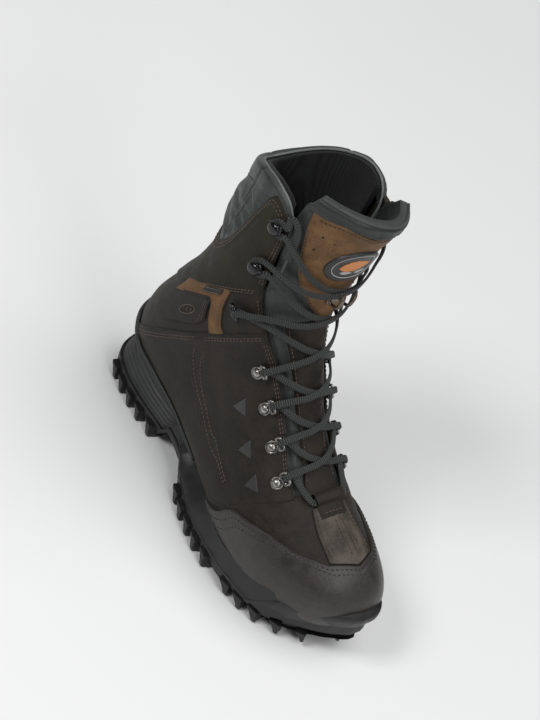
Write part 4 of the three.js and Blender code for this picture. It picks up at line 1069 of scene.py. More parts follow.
# Tread plate between the walls
cross = np.linspace(0, 1, 15)
xs = np.linspace(4, 308, 130)
sides = [np.interp(xs, plan[:, 0], plan[:, k]) for k in (1, 2)]
pull = 1.4 + undercut(xs)
py = between((sides[0] + pull)[:, None], (sides[1] - pull)[:, None], cross[None])
pz = np.broadcast_to(tread_line(xs)[:, None] + .05, py.shape) + .5 * np.cos(py * .35) * np.cos(xs * .3)[:,
                                                            None]
plate = np.stack([np.broadcast_to(xs[:, None], py.shape), py, pz], -1).reshape(-1, 3)
outsole.add(plate, grid_faces(len(xs), 15))


def lug(x, y, turn, long, wide, bag, flare=0.0, tall_by=2.4):
    """One lug: a steep face towards the toe, a hollowed slope towards the heel and a stepped outer end."""
    low = float(ground_line(x))
    top = low + LUG_HEIGHT + tall_by
    side = 1 if y > 0 else -1
    h = top - low
    # side outline of the tooth in (along, height), toe side first
    tooth = np.array([[.46, 1], [.5, .62], [.56, .3], [.6, .04], [.57, 0], [.3, 0], [.26, .04], [.16, .24],
                      [.02, .44],
                      [-.1, .52], [-.14, .64], [-.32, .74], [-.5, .86], [-.6, 1]])
    tooth = tooth * [long, 1]
    spans = [-.5, -.47, -.4, -.1, .12, .15, .4, .47, .5]
    shrink = [.9, .97, 1, 1, 1, .93, .93, .9, .82]
    rings = []
    for k, s in zip(spans, shrink):
        across = k * wide * side
        lower = .35 * (k > .13) + 1.1 * (abs(k) > .46)
        z = top - (1 - tooth[:, 1]) * (h - lower * (1 - tooth[:, 1]))
        px = tooth[:, 0] * s
        py_ = np.full(len(tooth), across) + side * flare * (k > .1) * (1 - .35 * (1 - tooth[:, 1]))
        c, d = math.cos(turn), math.sin(turn)
        rings.append(np.stack([x + px * c - py_ * d, y + px * d + py_ * c, z], -1))
    rings = np.array(rings)
    mid = rings.mean(1, keepdims=True)
    rings = np.concatenate([np.repeat(mid[:1], rings.shape[1], 1), rings,
                            np.repeat(mid[-1:], rings.shape[1], 1)])
    flat = rings.reshape(-1, 3)
    faces = orient(flat, grid_faces(len(rings), rings.shape[1], loop=True))
    near = np.tile(np.where(tooth[:, 1] < .35, .5, 4.0), len(rings))
    bag.add(flat, faces, edge=near)


for side in (-1, 1):
    edge_y = np.interp(np.arange(313), PLAN[:, 0],
                       PLAN[:, 1 if side < 0 else 2]) - side * undercut(np.arange(313))
    for x in (22, 36, 50, 64, 80):
        lug(x, edge_y[x] - side * 5, side * .2, 10.5, 13.5, outsole, 1.6, 5)
    for x in (144, 158, 172, 186, 201, 226, 240, 254):
        lug(x, edge_y[x] - side * 6, side * .25 * np.sign(205 - x), 11, 15.5, outsole, 1.8, 5)
    for x in (150, 168, 186, 228, 246):
        lug(x, -3 + side * 13, side * .6, 9, 13, outsole)
    lug(269, edge_y[269] - side * 6, side * -.5, 10, 14.5, outsole, 1.4, 5)
    lug(284, edge_y[284] - side * 6, side * -.8, 8.5, 12.5, outsole, 1.0, 4)
    lug(297, 8 + side * 6, side * -1.1, 7, 9, outsole, 0, 3)
    lug(13, side * 12, side * .9, 7, 11, outsole, .6, 4)
for x, y, turn, long, wide in ((45, 0, .7, 11, 11), (68, 0, .7, 11, 11), (268, 2, 0, 9, 13)):
    lug(x, y, turn, long, wide, outsole)
flexing(outsole.make("outsole_rubber", RUBBER, "sole_rubber", replaces=("outsole_rear", "outsole_forefoot"),
                     crisp=24))

# Midsole wall: a ribbed grey wedge from the heel to
# the arch, smooth black rubber ahead of it and a rolled lip
midsole = Bag()
gone = ramp(X, 262, 280)
floor_z = midsole_floor(X) - .3
fill = rim_z - floor_z
count = 34
levels, rib_values = [], []
base_in = between(2.3, .75, front)
for k in range(count + 1):
    s = k / count
    bulge = between(.5, .3, front) * math.sin(math.pi * s)
    groove = (1 - front) * .7 * (.5 - .5 * math.cos(2 * math.pi * WEDGE_RIBS * s)) * (0 < k < count)
    draw = s ** 1.3 * np.maximum(high_in - 1.1 - base_in, .2)
    levels.append((base_in - bulge + groove + draw + gone * 3, floor_z + s * fill))
    rib_values.append((1 - front) * (.5 - .5 * math.cos(2 * math.pi * WEDGE_RIBS * s)))
last_in = levels[-1][0]
for up, inn in ((.5, -.12), (1.0, .05), (1.25, .45), (1.1, 1.0)):
    levels.append((last_in + inn, rim_z + up))
    rib_values.append(X * 0)
levels.append((np.maximum(high_in + .8, last_in + 1.3), rim_z + .6))
rib_values.append(X * 0)
wall(midsole, levels, slots=lambda x, n, m: np.tile((x > 112).astype(int), n - 1), extra=rib_values)
flexing(midsole.make("midsole_wall", [FOAM, RUBBER], "midsole_foam",
                     replaces=("midsole_rear", "midsole_forefoot"), extra_name="rib"))

# Moulded heel cup above the wedge, with the same ribs
cup = Bag()


def cup_place(u, v):
    s = 1 - np.abs(2 * u - 1)
    angle = between(look(CUP_LOW, s, 2), look(CUP_TOP, s, 2), v)
    t = between(look(CUP_LOW, s, 1) - .25, look(CUP_TOP, s, 1), v)
    return t, np.where(u < .5, -angle, np.where(u > .5, angle, 180))


def cup_ribs(u, v, t, th, edge):
    s = 1 - np.abs(2 * u - 1)
    body = ramp(v, .0, .1) * (1 - ramp(v, .86, .95)) * ramp(s, .0, .2)
    return -.45 * body * (.5 - .5 * np.cos(2 * math.pi * CUP_RIBS * v))


def cup_tone(u, v, t, th):
    return (.5 - .5 * np.cos(2 * math.pi * CUP_RIBS * v)) * (1 - ramp(v, .86, .95)) * ramp(v, 0, .1)


slab(cup, cup_place, .2, lambda t, th: 1.15 + look([[8.7, 1.6], [11, 2.6], [13.5, 2.6]], t), step=.75,
     rounds=(1.2, 1.2, .8, 1.3),
     shape=cup_ribs, extra=cup_tone)
cup.make("heel_cup", FOAM, "heel_cup_plastic", "boot", ("heel_stabilizer",), extra_name="rib")

# ------------------------------------------------------------------ upper leather
rear_threads, front_threads, flap_threads, dark_threads, grey_threads, grey_threads_boot = (Bag()
                                                            for _ in range(6))


def creases(u, v, t, th, edge):
    """Walking creases across the vamp, in front of the tongue."""
    p = on(t, th, 0)
    x = p[..., 0] + .16 * np.abs(p[..., 1]) - 2.5 * np.sin(p[..., 1] / 17)
    fold = line_at(x, 240, 3.2) + .8 * line_at(x, 228, 2.8) + .55 * line_at(x, 252, 3)
    return -.5 * fold * ramp(edge, 0, 6) * (np.abs(th) < 100)


vamp = Bag()
slab(vamp, lambda u, v: (between(.2, look(VAMP_REAR, np.abs(between(-150, 150, v))) + .04, u),
                         between(-150, 150, v)),
     -LEATHER, 0, step=1.7, rounds=(0, 0, 0, 0), waves=.25, seed=1, shape=creases)
flexing(vamp.make("vamp_leather", BROWN, "brown_leather", replaces=("vamp",)))

rand = Bag()
slab(rand, lambda u, v: (between(.2, look(RAND_TOP, np.abs(between(-150, 150, v))), u),
                         between(-150, 150, v)),
     .05, OVER_FIT + RAND, step=1.8, rounds=(0, 1.5, 0, 0), waves=.12, seed=2,
     shape=lambda u, v, t, th, edge: -.25 * line_at(edge, 3.6, 1.5) - .35 * line_at(t, 4.6, .5)
     * (np.abs(th) > 75))
flexing(rand.make("toe_rand_leather", SMOOTH, "rand_leather", replaces=("toe_rand",)))
for inset in (.21, .44):
    line = [(look(RAND_TOP, abs(a)) - inset * (1 if abs(a) < 50 else 1.25), a) for a in range(-148, 149, 4)]
    stitches(dark_threads, line, on, OVER_FIT + RAND - .12, pitch=3.6, length=2.5, radius=.52)

strip = Bag()


def strip_place(u, v):
    wide = between(27, 16, u)
    th = between(-wide, wide, v)
    return between(look(RAND_TOP, np.abs(th)) + .06, 5.62, u), th


slab(strip, strip_place, -.1, OVER_FIT + PATCH, step=1.3, rounds=(0, .9, .9, .9), waves=.15, seed=4,
     shape=lambda u, v, t, th, edge: .75 * line_at(th, 1.5, 1.6) * ramp(u, 0, .2) - .3
     * line_at(edge, 2.6, .7)
     - .3 * np.exp(-((u - .22 - .06 * np.sin(th / 5)) / .05) ** 2))
flexing(strip.make("vamp_centre_strip", WORN, "worn_leather", replaces=("vamp_strip",)))
for side in (-1, 1):
    stitches(front_threads, [(a, side * (between(27, 16, (a - 3.6) / 2.02) - 2.9))
                             for a in np.linspace(3.85, 5.45, 12)], on,
             OVER_FIT + PATCH + .05, radius=.4)
    stitches(front_threads, [(a, side * 3.2 + 1.5) for a in np.linspace(3.65, 5.2, 12)], on,
             OVER_FIT + PATCH + .35, radius=.36)

for side, tag in ((-1, "lateral"), (1, "medial")):
    def quarter_place(u, v):
        t = between(6.2, ANKLE_LOW, u)
        for _ in range(6):
            th = between(facing(t), side_seam(t) + .9, v)
            t = between(look(VAMP_REAR, th) - .02, ANKLE_LOW + .12, u)
        return t, side * th

    def quarter_lift(t, th):
        a = np.abs(th)
        return .75 * ramp(a, side_seam(t) - 7, side_seam(t) - 2.5) * ramp(t, 7.2, 8.0) + 1.3 * ramp(t, 12.0,
                                                            12.35)

    def press(u, v, t, th, edge):
        rear = (side_seam(t) + .8 - np.abs(th)) * 1.35
        groove = line_at(rear, 2.2, .8) + line_at(rear, 5.0, .8)
        return -.22 * groove * ramp(t, 7, 7.6)

    quarter = Bag()
    slab(quarter, quarter_place, -LEATHER, quarter_lift, step=1.7, rounds=(0, 1.1, 1.1, .7), waves=.25,
         seed=1, shape=press)
    quarter.make(f"quarter_{tag}_leather", BROWN, "brown_leather", "boot", (f"quarter_{tag}",))

    def side_place(u, v):
        t = between(7.05, ANKLE_LOW, u)
        for _ in range(6):
            th = between(side_seam(t) - 2.5, lasted_at(t), v)
            t = between(look(VAMP_REAR, th) - .02, ANKLE_LOW + .12, u)
        return t, side * th

    panel = Bag()
    slab(panel, side_place, -LEATHER, lambda t,
         th: 1.3 * ramp(t, 12.0, 12.35) - .5 * (1 - ramp(np.abs(th), side_seam(t) - .5, side_seam(t) + 1.5)),
         step=1.6, rounds=(0, 1.1, 0, 0), waves=.25, seed=1)
    panel.make(f"side_panel_{tag}_leather", BROWN, "brown_leather", "boot", (f"side_panel_{tag}",))

    ankle = Bag()
    slab(ankle, lambda u, v: (between(ANKLE_LOW - .1, ANKLE_HIGH + .1, u),
                              side * between(facing(between(ANKLE_LOW, ANKLE_HIGH, u)), 180, v)),
         -LEATHER, 0, step=2.0, rounds=(0, 0, 1.1, 0), waves=.2, seed=3)
    ankle.make(f"ankle_panel_{tag}_leather", BROWN, "brown_leather", "boot", (f"ankle_panel_{tag}",))

    def shaft_place(u, v):
        low = between(14.9, 14.78, ramp(between(60, 180, v), 60, 120))
        t = between(low, 18.4, u)
        for _ in range(5):
            th = between(facing(t), 180, v)
            t = between(low, collar_seam(th) + .03, u)
        return t, side * th

    def shaft_lift(t, th):
        return .15 + 1.25 * (1 - ramp(t, 15.0, 15.5)) + .75 * ramp(t, collar_seam(th) - .7,
                                                            collar_seam(th) - .2)

    shaft = Bag()
    slab(shaft, shaft_place, -LEATHER, shaft_lift, step=1.7, rounds=(1.2, 1.1, 1.1, 0), waves=.3, seed=5,
         shape=lambda u, v, t, th, edge: -.22 * line_at(edge, 2.4, .8) - .15 * line_at(edge, 5.2, .8))
    shaft.make(f"shaft_panel_{tag}_leather", OLIVE, "olive_leather", "boot", (f"shaft_panel_{tag}",))

    # stitched seams
    for back in (2.0, 4.1):
        stitches(rear_threads, [(t, side * (side_seam(t) + .8 - back)) for t in np.linspace(7.6, 12.0, 40)],
                 on,
                 lambda t, th: quarter_lift(t, th) - .1, pitch=3.4)
        stitches(rear_threads, [(ANKLE_LOW + .02 - back * .055, side * a)
                                for a in np.linspace(facing(12.4) + 1.5, 170, 60)], on, 1.28)
    for back in (2.2, 4.6):
        stitches(rear_threads, [(t, side * (facing(t) + back * .85)) for t in np.linspace(6.5, 12.2, 50)],
                 on, .02)
    stitches(rear_threads, [(t, side * (facing(t) + 1.9)) for t in np.linspace(12.9, 14.7, 20)], on, .02)
    for back in (.0, 2.4):
        stitches(rear_threads, [(14.98 + back * .055 + between(0, -.1, ramp(a, 60, 120)), side * a)
                                for a in np.linspace(63, 106, 30)],
                 on, lambda t, th: shaft_lift(t, th) - .08)
        stitches(rear_threads, [(float(collar_seam(a)) - .15 - back * .062, side * a)
                                for a in np.linspace(70, 178, 70)],
                 on, lambda t, th: shaft_lift(t, th) - .08)
        stitches(rear_threads, [(t, side * (facing(t) + 2.0 + back)) for t in np.linspace(15.3, 18.1, 36)],
                 on,
                 lambda t, th: shaft_lift(t, th) - .06)

    # bellows between the quarter and the tongue
    gusset = Bag()

    def gusset_place(u, v):
        t = between(6.0, 15.2, u)
        return t, side * between(facing(t) - 13, facing(t) + 5, v)

    def gusset_shape(u, v, t, th, edge):
        gap = np.abs(th) - facing(t)
        fold = 1.1 * line_at(gap, -7, 4.2) - .7 * line_at(gap, -1.5, 1.6)
        return fold + .18 * np.sin(t * 9 + gap * .3) * line_at(gap, -7, 5)

    slab(gusset, gusset_place, lambda t, th: np.where(np.abs(th) > facing(t) - 2, -3.9, -3.7), lambda t,
         th: -2.6 - .9 * (1 - ramp(t, 6.1, 6.6)), step=1.3,
         rounds=(0, .8, .6, 0), shape=gusset_shape)
    thing = gusset.make(f"tongue_bellows_{tag}", GREY, "grey_leather", replaces=(f"tongue_gusset_{tag}",))
    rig.blend(thing, "boot", "tongue_flap", start=TONGUE_START, end=TONGUE_STOP)

    # tan bracket, dark cover with an embossed oval
    patch = Bag()

    def patch_place(u, v):
        k = u * 12
        out_t = look([[0, 12.5], [4, 14.5], [4.7, 14.92], [5.2, 15], [12, 15]], k)
        out_th = look([[0, 74.5], [1, 77], [4, 79.2], [4.7, 80], [5.2, 82.5], [12, 121]], k)
        in_t = look([[0, 12.5], [4, 14.0], [4.7, 14.28], [5.6, 14.4], [12, 14.42]], k)
        in_th = look([[0, 86.5], [.6, 84.2], [4, 86.2], [4.7, 87.6], [5.6, 91], [12, 121]], k)
        return between(out_t, in_t, v), side * between(out_th, in_th, v)

    slab(patch, patch_place, -.05, lambda t, th: OVER_FIT + OVERLAY - .6 - 1.15 * (1 - ramp(t, 12.5, 12.9)),
         step=1.0,
         rounds=(0, 0, .7, .7), waves=.1, seed=6)
    patch.make(f"ankle_bracket_{tag}", TAN, "tan_leather", "boot", (f"ankle_patch_{tag}",))
    stitches(rear_threads, [(t, side * look([[12.9, 78.6], [14.5, 81]], t))
                            for t in np.linspace(12.9, 14.5, 16)], on, 1.42)

    cover = Bag()

    def cover_place(u, v):
        t = between(13.1, 14.5, u)
        d = np.clip(np.maximum(.22 - u, u - .78) / .22, 0, 1)
        front_edge = 87.5 + 4.2 * (1 - np.sqrt(1 - d * d * .999))
        return t, side * between(front_edge, 112, v)

    def cover_shape(u, v, t, th, edge):
        a = (np.abs(th) - 98) * 1.32
        b = (t - 13.72) * 16
        r = np.sqrt((a / 6.2) ** 2 + (b / 3.3) ** 2)
        return -.35 * line_at(edge, 2.2, .7) + .45 * line_at(r, 1, .1) - .25 * (r < .88)

    slab(cover, cover_place, -.05, OVER_FIT + PATCH + .35, step=.7, rounds=(1.1, 1.1, 1.1, 0),
         shape=cover_shape)
    cover.make(f"ankle_cover_{tag}_leather", BROWN, "brown_leather", "boot", (f"ankle_cover_{tag}",))
    for back in (1.6, 3.2):
        stitches(rear_threads, [(t,
                                 side * (87.5 + back * .8 + 4.2
                                         * (1 - math.sqrt(max(1 - max(0, (abs(t - 13.8) - .39) / .31) ** 2
                                                            * .97, 0)))))
                                for t in np.linspace(13.2, 14.4, 24)], on, OVER_FIT + PATCH + .22, pitch=3.0,
                 length=2.0, radius=.3)
    oval = Bag()
    turn = np.linspace(0, 2 * math.pi, 48, endpoint=False)
    ring = on(13.72 + np.sin(turn) * 3.3 / 16, side * (98 + np.cos(turn) * 6.2 / 1.32),
              np.full(48, OVER_FIT + PATCH + .55))
    tube(oval, ring, .42, 6, closed=True)
    for k in range(3):
        a = 95.4 + 2.6 * k
        tube(oval, on(13.72 + np.array([-.07, 0, .07]), np.full(3, side * a),
                      np.full(3, OVER_FIT + PATCH + .42)), .34, 6)
    oval.make(f"ankle_oval_{tag}", EMBOSS, "brown_leather", "boot")

    # small reflective triangles behind the eyelets, pointing back
    shine = Bag()
    for t0, a0 in ((7.2, 56), (8.35, 59.5), (9.75, 63.5)):
        slab(shine, lambda u, v: (t0 + (v - .5) * .62 * (1 - u) + .12 * u, side * (a0 + 11 * u)), -.1,
             lambda t, th: np.full(np.shape(t), .14),
             step=.8, rounds=(0, 0, 0, 0), waves=.25, seed=1)
    shine.make(f"reflective_marks_{tag}", REFLECT, "grey_leather", "boot")


# ------------------------------------------------------------------ tongue
def flap_width(t):
    return look([[13, 48], [14, 55], [15, 61], [16, 64], [17, 67], [18, 68], [19.6, 62]], t)


def patch_width(t):
    return look([[13.0, 2.5], [13.35, 8], [14, 19], [15, 33], [16, 43], [17.2, 51], [18.4, 56], [19.2, 57]],
                t)


def patch_top(th):
    return PATCH_TOP + .34 + .3 * np.cos((th + 48) * math.pi / 70) - .1 * np.cos(th * math.pi / 25)


def tongue_face(t, th):
    raised = 1 - ramp(np.abs(th), facing(t) - 14.5, facing(t) - 12)
    middle = between(-1.4, FLAP_FACE, ramp(t, 11.5, 13)) - 1.6 * (1 - ramp(t, 6.1, 6.5))
    return between(-4.4, middle, raised)


tongue = Bag()
slab(tongue, lambda u, v: (between(6.0, TONGUE_SPLIT - .02, u),
                           between(-1, 1, v) * (facing(between(6.0, TONGUE_SPLIT, u)) + 5)),
     LINER_IN, tongue_face, step=1.5, rounds=(0, 0, 0, 0), waves=.3, seed=7,
     shape=lambda u, v, t, th, edge: .5 * np.sin(t * 7) * .4 * (np.abs(th) < facing(t) - 14)
     - .35 * np.exp(-((np.abs(th) - facing(t) + 16.2) / 1.3) ** 2))
tongue.make("tongue_lower_leather", BROWN, "brown_leather", "boot", ("tongue_lower",))
for side in (-1, 1):
    stitches(rear_threads, [(t, side * (facing(t) - 16.4)) for t in np.linspace(7.2, 12.8, 50)], on,
             lambda t, th: tongue_face(t, th) - .05)

base_patch = Bag()


def base_place(u, v):
    t = between(6.12, 7.16, u)
    wide = 15.5 * np.sqrt(np.clip(1 - np.clip((u - .35) / .65, 0, 1) ** 2 * .93, 0, 1))
    return t, between(-1, 1, v) * wide


slab(base_patch, base_place, -2.4, -.35, step=.8, rounds=(0, .9, .9, .9), shape=lambda u, v, t, th,
     edge: -.3 * line_at(edge, 2, .6))
base_patch.make("tongue_base_patch", BROWN, "brown_leather", "boot")
arc = [(6.45, -13.6), (6.7, -13.2), (6.88, -11), (6.99, -7.5), (7.03, -3), (7.03, 3), (6.99, 7.5),
       (6.88, 11), (6.7, 13.2), (6.45, 13.6)]
stitches(rear_threads, arc, on, -.45, pitch=2.9, length=2.0)

body = Bag()
slab(body, lambda u, v: (between(TONGUE_SPLIT + .02, PATCH_TOP + .5, u),
                         between(-1, 1, v) * flap_width(between(TONGUE_SPLIT, PATCH_TOP, u))),
     LINER_IN, FLAP_FACE, step=1.8, rounds=(0, 0, 2.2, 2.2), place_fn=flap, waves=.35, seed=8,
     shape=lambda u, v, t, th, edge: .5
     * np.sin(math.pi * np.clip((np.abs(th) - patch_width(t)) / 9, 0, 1)) * ramp(t, 13.2, 14))
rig.blend(body.make("tongue_upper_leather", GREY, "grey_leather", replaces=("tongue_upper",)), "boot",
         "tongue_flap",
         start=row([140, 0, 190]), end=row([152, 0, 228]))

shield = Bag()


def shield_place(u, v):
    guess = between(13.0, 19.2, u)
    th = between(-1, 1, v) * patch_width(guess)
    return between(13.0, patch_top(th), u), th


def shield_shape(u, v, t, th, edge):
    return -.28 * line_at(edge, 2.2, .7) + .25 * np.sin(3.1 * t + th / 11)


slab(shield, shield_place, FLAP_FACE - .2, PATCH_FACE, step=1.0, rounds=(1, 1, 1, 1), place_fn=flap,
     waves=.35, seed=9, shape=shield_shape)
shield.make("tongue_shield_patch", TAN, "tan_leather", "tongue_flap", ("tongue_patch",))
shield_edge = [(patch_top(th) - .17, th) for th in np.linspace(-53, 53, 46)]
stitches(flap_threads, shield_edge, flap, PATCH_FACE - .08, pitch=3.4, length=2.5)
for side in (-1, 1):
    stitches(flap_threads, [(t, side * (patch_width(t) - 1.9)) for t in np.linspace(13.35, 18.5, 60)], flap,
             PATCH_FACE - .08, pitch=3.4, length=2.5)
# Each perforation is a raised dark disc on the patch, not a cut hole. Its dark colour is partly the leather beneath
# and partly painted shade inside the hole.
holes = Bag()
for side in (-1, 1):
    for t, th in ((18.35, 42), (18.15, 31), (17.6, 43)):
        turn = np.linspace(0, 2 * math.pi, 12, endpoint=False)
        ringed = [flap(t + r * np.sin(turn) / 15, side * th + r * np.cos(turn) / .9,
                       np.full(12, PATCH_FACE + lift))
                  for r, lift in ((.95, .3), (.7, .38), (.45, .24), (.05, .2))]
        holes.add(np.concatenate(ringed), grid_faces(4, 12, loop=True))
holes.make("tongue_perforations", HOLE, "tan_leather", "tongue_flap")

# Badge: black rim, thin grey ring and a plain leaf
badge = Bag()


def oval(r, turn, lift):
    t = BADGE_T + .98 * r * np.sin(turn)
    return flap(t, 27 * r * np.cos(turn), lift)


turn = np.linspace(0, 2 * math.pi, 72, endpoint=False)
face = PATCH_FACE + OVER_FIT
profile = [(1.0, -.8), (1.0, 1.0), (.985, 1.45), (.95, 1.75), (.89, 1.8), (.84, 1.65), (.81, 1.25),
           (.8, 1.1), (.4, 1.15), (.02, 1.2)]
rings = np.array([oval(r, turn, np.full(72, face + h - .3)) for r, h in profile])
badge.add(rings.reshape(-1, 3), grid_faces(len(profile), 72, loop=True))
badge.faces[-1] = orient(rings.reshape(-1, 3), badge.faces[-1])
tube(badge, oval(.775, turn, np.full(72, face + .9)), .42, 6, closed=True, slot=1)


def leaf(bag, cx, cy, angle, long, wide, slot):
    """A small raised leaf: outline from a formula, with a vein along its middle."""
    s = np.linspace(0, 1, 24)
    w = wide * np.sin(math.pi * s ** .8) * (1 + .16 * np.abs(np.sin(5 * math.pi * s)))
    veins = []
    for k, lift in ((-1, -.15), (-.96, .3), (-.5, .42), (-.07, .3), (0, .12), (.07, .3), (.5, .42),
                    (.96, .3), (1, -.15)):
        px, pz = (s - .5) * long, k * w
        a = math.cos(angle) * px - math.sin(angle) * pz + cx
        b = math.sin(angle) * px + math.cos(angle) * pz + cy
        veins.append(flap(BADGE_T + b / 15.4, a / .86, np.full(24, face + .82 + lift * .8)))
    veins = np.array(veins)
    bag.add(veins.reshape(-1, 3), orient(veins.reshape(-1, 3), grid_faces(9, 24)), slot=slot)


leaf(badge, 0, .6, .12, 25, 5.2, 2)
leaf(badge, -5, -6.4, -.1, 10, 1.5, 1)
leaf(badge, 6.5, -6.2, .16, 10, 1.5, 1)
badge.make("tongue_badge_oval", [BADGE, BADGE_GREY, BADGE_RUST], "badge_rubber", "tongue_flap",
           ("tongue_badge",))

# Padded top of the tongue
top_pad = Bag()


def pad_end(th):
    return TONGUE_END + .42 + .12 * np.cos(3 * np.asarray(th)
                                           * math.pi / 180) + .22 * np.cos((np.asarray(th) + 48)
                                                            * math.pi / 70)


def pad_place(u, v):
    wide = between(flap_width(PATCH_TOP) - 1, 58, u)
    th = between(-wide, wide, v)
    return between(patch_top(th) - .14, pad_end(th), u), th


def pad_slack(u, v, t, th):
    hem = ramp((pad_end(th) - t) * SECTION_RISE, 5.5, 8)
    return hem * ramp((t - patch_top(th)) * SECTION_RISE, 1, 4) * ramp((58 - np.abs(th)) * .85, 2, 6)


slab(top_pad, pad_place, LINER_IN - .3, FLAP_FACE + .2, step=1.2, rounds=(0, 3.2, 2.6, 2.6), place_fn=flap,
     waves=.5, seed=10, extra=pad_slack,
     shape=lambda u, v, t, th, edge: 2.1 * np.sin(math.pi * np.clip(u * .9, 0, 1)) - .8
     * np.exp(-(((pad_end(th) - .27 - t) * SECTION_RISE) / 1.2) ** 2))
top_piece = top_pad.make("tongue_top_cushion", GREY, "grey_leather", replaces=("tongue_top_pad",),
                         extra_name="slack")
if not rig.quick():
    puff(top_piece, PUFF_PRESSURE, .08, .0035)
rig.ride(top_piece, "tongue_flap")
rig.padded(top_piece, fill=.55)
stitches(grey_threads, [(float(pad_end(th)) - .27, th) for th in np.linspace(-53, 53, 46)], flap,
         FLAP_FACE + .75, pitch=3.0, length=2.1)
lip = Bag()
th = np.linspace(-57, 57, 90)
line = flap(pad_end(th) + .03, th, FLAP_FACE - 1.2 + 0 * th)
tube(lip, line, .75, 8)
lip.make("tongue_raw_edge", GREY_THREAD, "grey_leather", "tongue_flap")

# Leather tunnel for the lace at the foot of the tongue

def frame_at(t, th):
    n = outward(t, th)
    centre = form(t, wrap(th))
    a = unit(form(t, wrap(th + 1)) - form(t, wrap(th - 1))) * (1 if th < 0 else -1)
    a = unit(a - n * (a @ n))
    b = np.cross(n, a)
    return {"centre": centre, "n": n, "a": a, "b": -b if b[2] < 0 else b}


def local(f, pa, pb, pn):
    pa, pb, pn = np.broadcast_arrays(*[np.asarray(k, float) for k in (pa, pb, pn)])
    return f["centre"] + pa[..., None] * f["a"] + pb[..., None] * f["b"] + pn[..., None] * f["n"]


tab = Bag()
half, gap, w = LACE_WIDTH / 2 + .45, TAB_GAP, TAB_WALL
outer = [(-half - w, -1.75), (-half - w - .3, -.3), (-half - w + .2, .6), (-half, 1.0), (-half * .4, 1.12),
         (half * .4, 1.12), (half, 1.0),
         (half + w - .25, .62), (half + w + .1, -.2), (half + w - .1, -1.7)]
inner = [(half, -1), (half, 1), (half * .3, 1.02), (-half * .3, 1.02), (-half, 1), (-half, -1)]
rings = []
for th in np.linspace(-13, 13, 25):
    f = frame_at(TAB_T, th if abs(th) > .01 else .01)
    f["a"] = f["a"] * (1 if th < 0 else -1)
    ring = [local(f, 0, pb, TAB_LIFT + k * (gap + w) + .15 * math.sin(th / 3)) for pb, k in outer]
    ring += [local(f, 0, pb, TAB_LIFT + k * gap) for pb, k in inner]
    rings.append(ring)
rings = np.array(rings)
faces = grid_faces(len(rings), rings.shape[1], loop=True)
tab.add(rings.reshape(-1, 3), orient(rings.reshape(-1, 3), faces),
        edge=np.tile([9, 2, .6, 1.2, 5, 5, 1.2, .2, .6, 9] + [9] * 6, len(rings)))
tab.make("lace_tunnel", BROWN, "brown_leather", "boot", ("lace_tab",))
tail = Bag()
slab(tail, lambda u, v: (between(5.2, 5.72, u), between(-12.4, 12.4, v)), 1.0, 2.9, step=.8,
     rounds=(.8, 0, .8, .8),
     shape=lambda u, v, t, th, edge: -.25 * line_at(edge, 2.0, .6))
flexing(tail.make("lace_tunnel_tail", BROWN, "brown_leather"))
stitches(front_threads, [(5.36, a) for a in np.linspace(-11, 11, 9)], on, 2.75)

# ------------------------------------------------------------------ padded collar
collar = Bag()


def collar_front(t):
    return facing(t) + .5 + 12 * np.clip((np.asarray(t) - 18) / 1.1, 0, 1.2) ** 2


def collar_place(u, v):
    th = between(66, 294, v)
    for _ in range(8):
        front = collar_front(between(collar_seam(th), rim(th), u))
        th = between(front, 360 - front, v)
    return between(collar_seam(th) - .22, rim(th), u), th


def collar_shape(u, v, t, th, edge):
    a = np.abs(wrap(th))
    tall = (rim(a) - collar_seam(a)) * SECTION_RISE
    puff = 3.0 * ramp(tall, 5,
                      26) * np.sin(math.pi * np.clip((t - collar_seam(a)) / (rim(a) - collar_seam(a))
                                                     * .86 + .02, 0, 1)) ** .7
    seam = np.exp(-(((a - 121 - 2.5 * np.sin(t * 1.6)) * 1.3) / 1.5) ** 2) + np.exp(-((a - 180)
                                                            * 1.3 / 1.6) ** 2)
    hem = np.exp(-(((rim(a) - .5 - t) * SECTION_RISE) / 1.5) ** 2)
    ripple = .3 * np.sin(a * .22 + t * 2.2) * ramp(tall, 12, 26)
    return puff + ripple - 1.3 * seam * ramp(tall, 10, 22) - .7 * hem


def collar_slack(u, v, t, th):
    a = np.abs(wrap(th))
    tall = (rim(a) - collar_seam(a)) * SECTION_RISE
    seam = np.exp(-(((a - 121 - 2.5 * np.sin(t * 1.6)) * 1.3) / 1.7) ** 2) + np.exp(-((a - 180)
                                                            * 1.3 / 1.8) ** 2)
    hem = ramp((rim(a) - t) * SECTION_RISE, 8.5, 12)
    return (hem * (1 - np.clip(seam * 1.4, 0, 1)) * ramp((t - collar_seam(a)) * SECTION_RISE, 1, 4)
            * ramp((a - collar_front(t)) * 1.3, 2, 6)
            * ramp(tall, 10, 18))


slab(collar, collar_place, LINER_OUT + .15, .1, step=1.6, rounds=(0, 3.0, 1.6, 1.6), waves=.3, seed=11,
     shape=collar_shape,
     extra=collar_slack)
collar_piece = collar.make("collar_cushion", GREY, "grey_leather", replaces=("collar_pad",),
                           extra_name="slack")
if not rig.quick():
    puff(collar_piece, PUFF_PRESSURE, .04, .003)
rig.ride(collar_piece, "boot")
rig.padded(collar_piece, fill=.6)
stitches(grey_threads_boot, [(float(rim(a)) - .5, a) for a in np.linspace(80, 280, 150)], on,
         lambda t, th: collar_shape(0, 0, t, th, 0) + .1, pitch=3.1, length=2.2)
